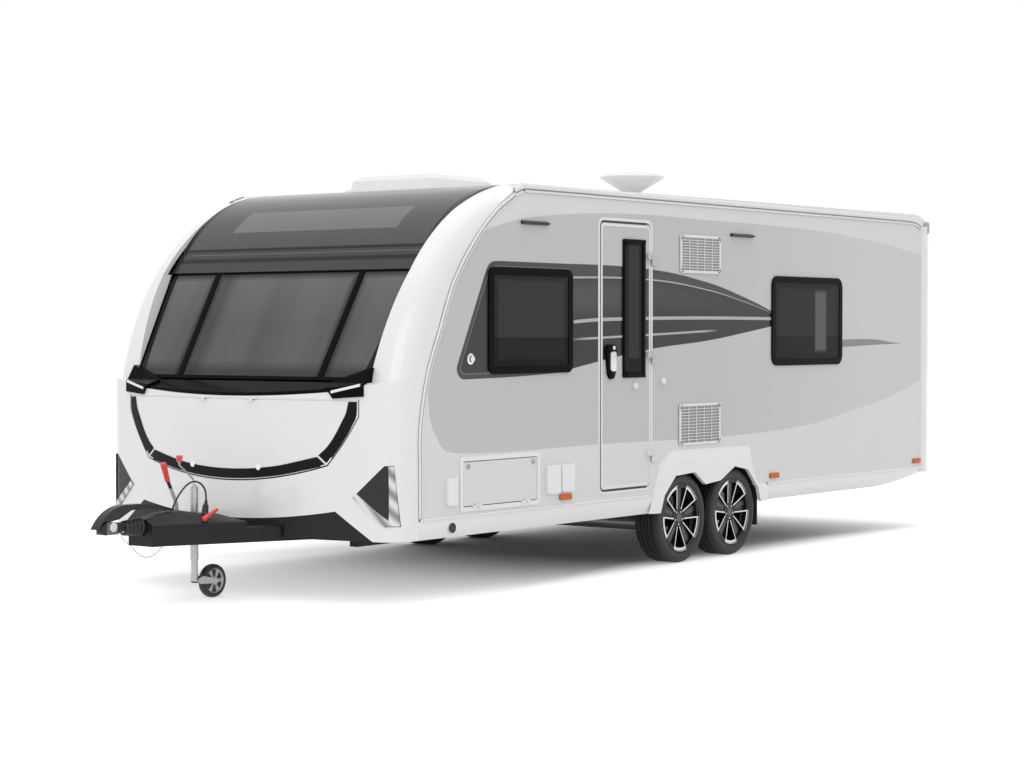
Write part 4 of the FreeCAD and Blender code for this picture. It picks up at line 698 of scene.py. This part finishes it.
# %% Finish of the wheels
machined = plain("machined_alloy", (0.66, 0.66, 0.67), 0.24, 0.1, 60, 0.1, 0.00002, metal=0.9)
hub_grey = plain("hub_grey", (0.09, 0.09, 0.095), 0.35, metal=0.3)
wheel_x, spoke_face = 1.0905, 0.0712            # from the caravan's middle, and from the wheel's
fans, first_fan = 5, math.radians(-33)
fan_turn = math.tau / fans


def rim_finish(name, hub_y, hub_z):
    """Black, with bright edges round five fans and a grey bar in each spoke."""
    finish = Finish(name, (0.02, 0.02, 0.021), 0.2, ior=1.3)
    x, y, z = finish.xyz()
    outwards = finish.split(finish.add("ShaderNodeTexCoord", output="Normal"))[0].size().over(0.8, 0.1)
    out = x.size() - wheel_x
    radius = ((y - hub_y) * (y - hub_y) + (z - hub_z) * (z - hub_z)).math("POWER", 0.5)
    # along and across measure from the nearest fan's middle line
    turn = ((y - hub_y).math("ARCTAN2", z - hub_z) - first_fan) / fan_turn
    angle = (turn - turn.math("ROUND")) * fan_turn
    along, across = radius * angle.math("COSINE"), radius * angle.math("SINE").size()
    from_edge = (across - 0.0071 - (along - 0.0576) * 0.4009) * 0.928
    raised = out.over(spoke_face, 0.0006) * outwards * radius.within(0.064, 0.231, 0.001)
    raised = raised * from_edge.under(0.0085, 0.001)
    between = fan_turn / 2 - angle.size()
    bar = (radius * between.math("SINE")).under((radius - 0.068) * 0.08 + 0.0075, 0.001)
    bar = bar * radius.within(0.085, 0.205, 0.001) * out.under(spoke_face, 0.0006) * outwards
    lip = radius.over(0.233, 0.002) * out.over(0.06, 0.002)
    black = finish.mix(0.008, (0.075, 0.075, 0.078), lip.high(bar))
    return finish.set(finish.mix(black, (0.7, 0.7, 0.71), raised), finish.cloudy(0.26, 0.1, 80, 3), raised * 0.7)


# %% Caps and bolts
cap_outline = [(-0.02, 0.034), (-0.001, 0.034), (0.001, 0.032), (0.001, 0.026), (-0.001, 0.024), (0.0005, 0.001),
               (-0.02, 0.001)]
bolt_outline = [(-0.012, 0.0085), (0.002, 0.0085), (0.004, 0.0065), (0.004, 0.001), (-0.012, 0.001)]
bolt_circle, cap_out, bolt_out = 0.046, 0.0745, 0.07
for place in ("front", "rear"):
    low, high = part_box(f"tyre_{place}_nearside")
    hub_y, hub_z = (low[1] + high[1]) / 2, (low[2] + high[2]) / 2
    rim = rim_finish(f"rim_{place}", hub_y, hub_z)
    for hand, sign in hands:
        wheel = f"{place}_{hand}"
        rim.on(f"rim_{wheel}")
        cap = turned(cap_outline, (sign * (wheel_x + cap_out), hub_y, hub_z), (sign, 0, 0), 48)
        new_piece(f"cap_{wheel}", cap, hub_grey, f"wheel_{wheel}")
        bolts = []
        for k in range(fans):
            angle = fan_turn * (k + 0.5) + math.pi / 2
            spot = (sign * (wheel_x + bolt_out), hub_y + bolt_circle * math.cos(angle),
                    hub_z + bolt_circle * math.sin(angle))
            bolts.append(turned(bolt_outline, spot, (sign, 0, 0), 6))
        new_piece(f"bolts_{wheel}", joined(*bolts), galvanised, f"wheel_{wheel}", 25)

# %% [markdown]
# A black band outlines the gas locker lid. It is three lengths with a narrow white gap between
# them, and it swings with the lid. It could be paint, but it stands up a little from the lid, so
# it is laid on as strips. Two small turn locks sit on it.

# %% Band and locks of the gas locker
band_black = plain("band_black", (0.007, 0.0065, 0.007), 0.35, 0.15, 30, 0.1, 0.00003, ior=1.2)
side_outer = [(0.748, 0.817), (0.815, 0.9), (0.868, 0.972), (0.912, 1.048), (0.938, 1.105), (0.942, 1.186)]
side_inner = [(0.688, 0.868), (0.745, 0.917), (0.797, 0.985), (0.846, 1.07), (0.872, 1.12), (0.888, 1.186)]
mid_outer = [(-0.738, 0.808), (-0.371, 0.7365), (0, 0.712), (0.371, 0.7365), (0.738, 0.808)]
mid_inner = [(-0.678, 0.858), (-0.35, 0.792), (0, 0.77), (0.35, 0.792), (0.678, 0.858)]
for name, outer, inner, along, sign in (("centre", mid_outer, mid_inner, 90, 1),
                                        ("nearside", side_outer, side_inner, 40, 1),
                                        ("offside", side_outer, side_inner, 40, -1)):
    strip = laid_strip(outer, inner, "gas_locker_lid", along, hand=sign)
    new_piece(f"lid_band_{name}", strip, band_black, "gas_lid")

# a strip in the seam above the lid, on the front's own circle
front_radius, circle_y, seam_z = 4.145, 1.163, 1.1942
seal_strip = grid(60, 1)
for vert in seal_strip.verts:
    x = vert.co.x * 1.892
    vert.co = (x, circle_y - math.sqrt(front_radius ** 2 - x ** 2) + 0.0015, seam_z + vert.co.y * 0.0064)
new_piece("lid_seal", drawn_out(seal_strip, (0, 0.008, 0)), shell)

chrome = plain("bright_chrome", (0.72, 0.72, 0.73), 0.12, 0.05, 30, 0.05, 0, metal=1.0)
lock_outline = [(-0.002, 0.02), (0.006, 0.02), (0.0075, 0.018), (0.0075, 0.013), (0.0055, 0.0115), (0.0055, 0.001),
                (-0.002, 0.001)]
for hand, x in (("offside", -0.298), ("nearside", 0.253)):
    spot = surface("gas_locker_lid").ray_cast(Vector((x, -4, 0.787)), Vector((0, 1, 0)))[0]
    lid_lock = turned(lock_outline, spot, (0, -1, 0), 40)
    new_piece(f"lid_lock_{hand}", lid_lock, chrome, "gas_lid")

# %% [markdown]
# Each corner lamp has a faceted silver edge along two sides. The facets could be small planes at
# many angles; waves of painted highlight and shade in the colour look the same from a little way off.

# %% Silver edges of the corner lamps
lamp_silver = Finish("lamp_silver", (0.42, 0.42, 0.43), 0.2, metal=0.8)
x, y, z = lamp_silver.xyz()
# painted highlights and shade of the facets, in waves
painted_facet_light = (z * (math.tau / 0.11) + x * (math.tau / 0.09)).math("SINE") * 0.5 + 0.5
lamp_silver.set(lamp_silver.mix((0.22, 0.22, 0.225), (0.62, 0.62, 0.63), painted_facet_light), lamp_silver.cloudy(0.2, 0.08, 40))
silver_edges = [([(1.16, 0.812), (1.1705, 0.64), (1.1815, 0.464)], [(1.138, 0.812), (1.141, 0.64),
                (1.139, 0.464)], 20), ([(0.918, 0.627), (1.015, 0.543), (1.112, 0.463)], [(0.942, 0.65),
                (1.04, 0.573), (1.139, 0.496)], 20), ([(1.112, 0.463), (1.139, 0.463)], [(1.112, 0.494),
                (1.139, 0.494)], 4)]
for hand, sign in hands:
    strips = [laid_strip(outer, inner, "corner_lamps", along, 0.01, sign) for outer, inner, along in silver_edges]
    new_piece(f"corner_silver_{hand}", joined(*strips), lamp_silver)

# %% [markdown]
# The entrance door has a white frame round it, a rubber seal in the gap, a black handle with a
# silver lever, and a stay for holding it open. Insetting a plate makes a ring with no cutting.
# The frame stops short at each hinge, so that the hinge has room.

# %% Door frame and seal
white_plastic = plain("white_plastic", (0.8, 0.8, 0.805), 0.3, 0.05, 20, 0.06, 0.00002)
grey_plastic = plain("grey_plastic", (0.42, 0.42, 0.43), 0.4, 0.1, 20)
seal = plain("seal_rubber", 0.02, 0.5)
half_hinge, hinge_side_y = 0.045, -0.16
door_surround = side_plate((-0.776, -0.131), (0.527, 2.343), (face_x, 1.206), 0.06, 0.019)
for hinge_z in (0.76, 1.42, 2.08):
    for cut_z in (hinge_z - half_hinge, hinge_z + half_hinge):
        sliced(door_surround, (0, 0, cut_z), (0, 0, 1))
    at_hinge = [f for f in door_surround.faces if f.calc_center_median().y > hinge_side_y
                and abs(f.calc_center_median().z - hinge_z) < half_hinge - 0.001]
    bmesh.ops.delete(door_surround, geom=at_hinge, context="FACES")
new_piece("door_surround", door_surround, white_plastic)
door_edge = side_plate((-0.7445, -0.157), (0.563, 2.305), (face_x, 1.2058), 0.036, 0.018)
new_piece("door_edge", door_edge, white_plastic, "door")
# the seal shows along the lock side, the top and the foot; the hinges hide the fourth side
door_seal = side_plate((-0.7575, -0.148), (0.545, 2.3245), (face_x - 0.0004, face_x + 0.0008), 0.044, 0.0115, 0)
cut_away(door_seal, (0, -0.2, 0), (0, 1, 0))
new_piece("door_seal", door_seal, seal)

# %% Door window and handle
window_ring = side_plate((-0.494, -0.226), (1.289, 2.21), (face_x, 1.2145), 0.02, 0.04, 0.004)
window_sash = side_plate((-0.482, -0.238), (1.301, 2.198), (1.181, 1.2033), 0.016, 0.028)
handle_x, handle_y = 1.2213, -0.632
handle = side_plate((-0.7, -0.574), (1.284, 1.512), (face_x, 1.2215), 0.04, 0, 0.006)
for vert in handle.verts:       # narrower towards its foot
    narrow = 1 - 0.5 * min(max((1.383 - vert.co.z) / 0.1, 0), 1)
    vert.co.y = handle_y + (vert.co.y - handle_y) * narrow
door_black = new_piece("door_fittings_black", joined(window_ring, window_sash, handle), black_gloss, "door")
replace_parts(door_black, "door_fittings")
lever = side_plate((-0.664, -0.6), (1.334, 1.466), (handle_x, 1.2338), 0.022, 0, 0.006)
new_piece("door_lever", lever, machined, "door")

# %% [markdown]
# The small round fittings on the side are all turned from an outline, as on a lathe, about a line
# that points straight out of the wall. Stacked cylinders would lack the rounded rims.

# %% Round fittings on the side
stay = [(0, 0.024), (0.014, 0.024), (0.02, 0.019), (0.022, 0.01), (0.022, 0.001), (0, 0.001)]
lock = [(0, 0.014), (0.005, 0.014), (0.007, 0.012), (0.007, 0.001), (0, 0.001)]
flue = [(0, 0.034), (0.006, 0.034), (0.008, 0.03), (0.008, 0.022), (0.022, 0.02), (0.026, 0.016), (0.026, 0.001),
        (0, 0.001)]
port = [(0, 0.03), (0.004, 0.03), (0.006, 0.027), (0.001, 0.021), (0.001, 0.001), (0, 0.001)]
for name, outline, where, steps, finish, body, slot in (
        ("door_lock", lock, (handle_x, -0.622, 1.49), 32, chrome, "door", "rail_aluminium"),
        ("door_stay_knob", stay, (face_x, -0.349, 1.233), 40, white_plastic, "door", "white_plastic"),
        ("door_stay_catch", stay, (face_x, -0.006, 1.26), 40, white_plastic, "caravan", "white_plastic"),
        ("flue", flue, (face_x, -2.136, 1.431), 48, chrome, "caravan", "rail_aluminium"),
        ("sill_port", port, (face_x, -2.308, 0.423), 40, seal, "caravan", "black_trim")):
    new_piece(name, turned(outline, where, (1, 0, 0), steps), finish, body)
latch = [(-0.001, 0.017), (0.004, 0.017), (0.006, 0.015), (0.006, 0.011), (0.003, 0.01), (0.003, 0.001),
         (-0.001, 0.001)]
latches = [turned(latch, (1.2095, y, 0.783), (1, 0, 0), 32) for y in (-2.163, -1.501)]
new_piece("locker_latches", joined(*latches), grey_plastic, "locker_flap")

# %% [markdown]
# A fridge vent is a lattice in a frame. Each slat could be a box, but it is quicker to inset every
# cell of a grid, and to draw its inner face back and tilt it, like a slat that sheds rain.

# %% Fridge vents
frame_wide, lattice_x = 0.018, face_x + 0.009
vent_plastic = two_tone("vent_plastic", (0.36, 0.36, 0.37), (0.8, 0.8, 0.805),
                        lambda x, y, z: x.over(face_x + 0.0065, 0.002), 0.3)
for name, y, z in (("vent_upper", (0.206, 0.737), (1.999, 2.265)), ("vent_lower", (0.197, 0.736), (0.809, 1.099))):
    inside_y, inside_z = ((low + frame_wide, high - frame_wide) for low, high in (y, z))
    lattice = grid(5, 12, across_side(lattice_x, inside_y, inside_z))
    cells = lattice.faces[:]
    bmesh.ops.inset_individual(lattice, faces=cells, thickness=0.0036, depth=0)
    for face in bmesh.ops.extrude_discrete_faces(lattice, faces=cells)["faces"]:
        for vert in face.verts:
            vert.co.x = face_x + 0.001 + (0.004 if vert.co.z > face.calc_center_median().z else 0)
    surround = side_plate(y, z, (face_x, face_x + 0.012), 0.02, 0.02, 0.003)
    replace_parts(new_piece(name, joined(lattice, surround), vent_plastic), "fridge_vents")

# %% [markdown]
# Two white rails hide the joints of the body. One follows the crease between the front moulding
# and the side, and one runs along the roof and turns down at the back. The lower edge is a skirt
# that curves in under the wall, below a round bead, and a moulding closes each rear corner. A
# bevelled curve could draw a rail, but a grid on the path keeps its profile square to the wall.

# %% Lines and profiles of the rails
# white rails, grey between |x| 1.2034 and 1.2082: painted shade in the groove along each rail
rail_coat_groove_shade = two_tone("rail_coat_groove_shade", (0.3, 0.298, 0.305), (0.82, 0.815, 0.825),
                     lambda x, y, z: x.size().over(1.2082, 0.002).high(x.size().under(1.2034, 0.001)), 0.25)
crease_rail = [(0.002, 0), (0.001, 0.004), (-0.004, 0.009), (-0.014, 0.01), (-0.018, 0.008), (-0.02, 0.0025),
               (-0.025, 0.0025), (-0.027, 0.007), (-0.034, 0.007), (-0.037, 0)]
crease_line = smooth_path([(-2.628, 0.5), (-2.628, 0.76), (-2.628, 1.02), (-2.563, 1.33), (-2.439, 1.617),
                           (-2.298, 1.91), (-2.09, 2.165), (-1.893, 2.338), (-1.69, 2.455)], 80)
roof_rail = [(-0.026, 0), (-0.026, 0.007), (-0.021, 0.01), (-0.012, 0.01), (-0.009, 0.003), (-0.003, 0.003),
             (0, 0.011), (0.012, 0.015), (0.024, 0.013), (0.03, 0.006), (0.031, -0.012)]
roof_line = smooth_path([(-1.69, 2.455), (-1.6, 2.482), (-1.45, 2.4875), (0.0, 2.49), (1.5, 2.491), (3.0, 2.492),
                         (3.66, 2.49), (3.8, 2.478), (3.875, 2.452)], 90)
corner_cover = [(0.004, 0), (0.002, 0.006), (-0.006, 0.01), (-0.04, 0.014), (-0.08, 0.013), (-0.106, 0.006),
                (-0.124, -0.008), (-0.136, -0.03), (-0.141, -0.06), (-0.141, -0.098), (-0.136, -0.104)]
corner_line = smooth_path([(3.885, 0.446), (3.885, 1.2), (3.885, 1.9), (3.885, 2.455)], 12)
bead = [(-0.01, 0), (-0.009, 0.005), (-0.004, 0.009), (0.003, 0.01), (0.007, 0.006), (0.008, 0)]
bead_z, skirt_top, skirt_foot = 0.487, 0.4832, 0.366
print("rail points", len(crease_line), len(roof_line))


# %% Rails, beads and skirts
def skirt(from_y, to_y, hand):
    """A skirt that curves in towards its foot, and rises behind the last lamp."""
    mesh = grid(48, 8)
    for vert in mesh.verts:
        y, down = from_y + (to_y - from_y) * (vert.co.x + 0.5), 0.5 - vert.co.y
        foot = skirt_foot + 0.077 * (max(y - 3.1, 0) / 0.835) ** 1.5
        vert.co = (hand * (1.2028 - 0.026 * down ** 2.5), y, skirt_top + (foot - skirt_top) * down)
    return drawn_out(mesh, (-0.004 * hand, 0, 0))


def sill_bead(from_y, to_y, hand):
    return swept([Vector((from_y + (to_y - from_y) * k / 30, bead_z)) for k in range(31)], bead, hand)


for hand, sign in hands:
    new_piece(f"crease_rail_{hand}", swept(crease_line, crease_rail, sign), rail_coat_groove_shade, smooth=50)
    rail = new_piece(f"roof_rail_{hand}", swept(roof_line, roof_rail, sign), rail_coat_groove_shade, smooth=50)
    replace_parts(rail, "awning_rails")
    cap = side_plate((3.928, 4.006), (2.397, 2.495), (1.19, 1.2165) if sign > 0 else (-1.2165, -1.19), 0.03, 0, 0)
    new_piece(f"rail_end_{hand}", cap, grey_plastic, smooth=30)
    new_piece(f"rear_corner_{hand}", swept(corner_line, corner_cover, sign, (0.002, 0.002)), shell)
    new_piece(f"sill_bead_{hand}", joined(sill_bead(-2.62, -0.19, sign), sill_bead(1.4, 3.878, sign)), shell)
    skirts = joined(skirt(-2.6295, -0.112, sign), skirt(1.323, 3.9375, sign))
    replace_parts(new_piece(f"skirt_{hand}", skirts, shell), "side_skirts")

# %% [markdown]
# The roof and the rear panel meet in a rounded edge. Bending one sheet over would do it, but both
# pieces exist already, so merged copies of them are cut back by planes at growing slopes. In
# front, a small shoulder on each side bridges the step from the pillar and the wall to the roof.

# %% Rounded rear edge and shoulders
def rounded_behind(node):
    """A copy of a node, merged and cut by four planes that round its top rear edge."""
    mesh = bmesh.new()
    mesh.from_mesh(nodes[node].data)
    bmesh.ops.remove_doubles(mesh, verts=mesh.verts, dist=close_enough)
    for y, z, fall in ((3.72, 2.5575, 7), (3.86, 2.536, 16), (3.945, 2.508, 34), (3.992, 2.47, 60)):
        fall = math.radians(fall)
        cut_away(mesh, (0, y, z), (0, math.sin(fall), math.cos(fall)))
    return mesh


def part_way(value, start, length):
    """0 up to start, 1 from start + length on, and in between a straight rise."""
    return min(max((value - start) / length, 0), 1)


def shoulder(moulding, wall, hand):
    """A cover over the slot between the moulding and the wall, which rises to the roof behind it."""
    moulding_x, wall_x, moulding_end, roof_z = 1.121, 1.189, -1.606, 2.5165
    mesh = grid(16, 6)
    for vert in mesh.verts:
        y, share = -1.7 + vert.co.x * 0.24, vert.co.y + 0.5
        # the moulding ends just ahead of the roof, so the last heights are taken from its own end
        inner, outer = (tree.ray_cast(Vector((hand * x, min(y, moulding_end), 3.0)), Vector((0, 0, -1)))[0].z
                        for tree, x in ((moulding, moulding_x), (wall, wall_x)))
        rise, at_rail = part_way(y, -1.62, 0.06), part_way(y, -1.72, 0.05)
        rail_top = 2.483 + 0.027 * part_way(y, -1.69, 0.09)
        outer += max(rail_top - outer, 0) * at_rail
        z = inner + (outer - inner) * min(share * 1.3, 1) + 0.0006
        z += (roof_z - z) * rise * rise * (3 - 2 * rise)
        vert.co = (hand * (1.12 + (0.078 + 0.016 * at_rail) * share), y, z)
    return drawn_out(mesh, (0, 0, -0.006))


for node in ("roof_panel", "rear_panel"):
    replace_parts(new_piece(f"{node}_rounded", rounded_behind(node), shell, smooth=30), node)
for hand, sign in hands:
    cover = shoulder(surface("front_moulding"), surface(f"{hand}_wall"), sign)
    new_piece(f"rail_shoulder_{hand}", cover, shell, smooth=50)

# %% [markdown]
# On the hitch the levers that a hand reaches for are red. They are straight, so rather than swept
# along a curve each is turned about the line from its foot to its tip.

# %% Red levers
signal_red = plain("signal_red", (0.74, 0.045, 0.03), 0.32, 0.08, 40, 0.08, 0.00003, coat=0.2)
grip_from, grip_to = Vector((-0.0493, -3.432, 0.712)), Vector((-0.0493, -3.47, 0.822))
grip_line = grip_to - grip_from
grip = [(0, 0.0158)]
for k in range(6):
    start, wider = 0.05 + k * 0.009, k * 0.0003
    grip += [(start, 0.0165 + wider), (start + 0.003, 0.018 + wider), (start + 0.006, 0.018 + wider)]
grip += [(0.108, 0.0185), (0.115, 0.017), (0.1175, 0.012), (0.1185, 0.001), (0, 0.001)]
knob = [(0, 0.0135), (0.004, 0.015), (0.036, 0.0205), (0.04, 0.0195), (0.042, 0.015), (0.042, 0.001), (0, 0.001)]
clamp = [(-0.004, 0.01), (0.01, 0.0105), (0.07, 0.0115), (0.08, 0.0145), (0.112, 0.016), (0.122, 0.0145),
         (0.127, 0.009), (0.128, 0.001), (-0.004, 0.001)]
clamp_foot, clamp_tip = Vector((0.205, -3.283, 0.548)), Vector((0.205, -3.398, 0.494))
for name, outline, foot, line, steps, smooth in (
        ("brake_grip", grip, grip_from + grip_line.normalized() * 0.0006, grip_line, 32, 35),
        ("crank_knob", knob, (0, -3.385, 0.824), (0, 0, 1), 8, 25),
        ("clamp_lever", clamp, clamp_foot, clamp_tip - clamp_foot, 32, 35)):
    new_piece(name, turned(outline, foot, line, steps), signal_red, smooth=smooth)

# %% [markdown]
# The jockey wheel is a solid rubber tyre on a dished plastic hub. Both are turned in one go. The
# hub's holes could be cut, but they are too small to see through, so groups of faces are pressed in.

# %% Jockey wheel
roller_at, tyre_inner = Vector((0, -3.113, 0.1)), 0.0735
half_roller = [(0.0248, 0.0086), (0.0248, 0.022), (0.017, 0.026), (0.0155, 0.068), (0.022, tyre_inner),
               (0.0235, 0.078), (0.0235, 0.088), (0.02, 0.0965), (0.01, 0.1)]
roller = turned(half_roller + [(-a, r) for a, r in reversed(half_roller)], roller_at, (1, 0, 0), 60)


def is_hole(face):
    """Whether a face of the dished web lies in one of its six holes."""
    middle = face.calc_center_median() - roller_at
    share = (math.atan2(middle.z, middle.y) / math.tau * 6) % 1
    return 0.03 < math.hypot(middle.y, middle.z) < 0.066 and 0.2 < share < 0.8 and abs(middle.x) > 0.014


bmesh.ops.inset_region(roller, faces=[f for f in roller.faces if is_hole(f)], thickness=0.0025, depth=-0.006)
roller_finish = Finish("roller", 0.022, 0.5)
x, y, z = roller_finish.xyz()
from_y, from_z = y - roller_at.y, z - roller_at.z
hub_mask = (from_y * from_y + from_z * from_z).math("POWER", 0.5).under(tyre_inner, 0.001)
deep = x.size().under(0.0125, 0.002) * hub_mask
colour = roller_finish.layers(0.022, ((0.5, 0.5, 0.51), hub_mask), (0.05, deep))
roller_finish.set(colour, roller_finish.cloudy(0.45, 0.15, 60, 3), hub_mask * 0.4,
                  roller_finish.bump(roller_finish.noise(500), 0.0001))
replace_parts(new_piece("roller", roller, roller_finish, "jockey_roller"), "jockey_wheel")

# %% [markdown]
# Soft studio light comes from above the front, and the world fills the rest evenly. A white floor
# could be had with more light, but that would wash out the white caravan. Here the floor glows,
# only where it is looked at, little near the caravan and more away from it. This glow is painted
# light: its slopes set where the shadow fades, and lighten it under the front and the rear.

# %% Lamps
def area_light(name, where, towards, size, power):
    data = bpy.data.lights.new(name, "AREA")
    data.shape, data.size, data.size_y, data.energy = "RECTANGLE", size[0], size[1], power
    placed(name, data, where, (Vector(towards) - Vector(where)).to_track_quat("-Z", "Y").to_euler())
    print("lamp", name, power, "W")


area_light("front_key", (5.0, -12.0, 7.0), (0, -1.0, 1.0), (9, 6), 210)
area_light("top_fill", (0, 0, 10.0), (0, 0, 0), (10, 14), 275)

# %% Floor
floor_finish = Finish("pale_floor", 0.8, 0.9)
x, y, z = floor_finish.xyz()
# painted light: the glow rises at its own rate ahead, behind and to each side, so it sets the shadow's reach and
# lightens it under the front and the rear
beside = ((x - 0.8) / 0.55).high((-1.1 - x) / 1.2)
ahead = ((0.25 - y) / 2.8).high((y - 2.2) / 2.6)
far = beside.high(ahead).clip()
glow_colour = floor_finish.mix(0.01, 0.51, far * far * (3 - far * 2))
glow = floor_finish.add("ShaderNodeEmission", {}, {"Color": glow_colour, "Strength": 1.0})
matt = Flow(floor_finish, floor_finish.shader.outputs[0])
floor_finish.show("Material Output", matt, floor_finish.add("ShaderNodeAddShader", {}, {0: matt, 1: glow}))
floor_data = bpy.data.meshes.new("floor")
grid(1, 1, Matrix.Scale(120, 4)).to_mesh(floor_data)
floor_data.materials.append(floor_finish.material)
floor = placed("floor", floor_data)
print("floor", tuple(floor.dimensions))

# %% Sky
world = bpy.data.worlds.new("studio")
bpy.context.scene.world = world
world.use_nodes = True
sky = Nodes(world.node_tree)
fill, white = (sky.add("ShaderNodeBackground", {}, {"Color": 1, "Strength": strength}) for strength in (0.84, 1.0))
sky.show("World Output", fill, white)
bpy.context.scene.view_settings.view_transform = "Standard"
print("sky", world.name)
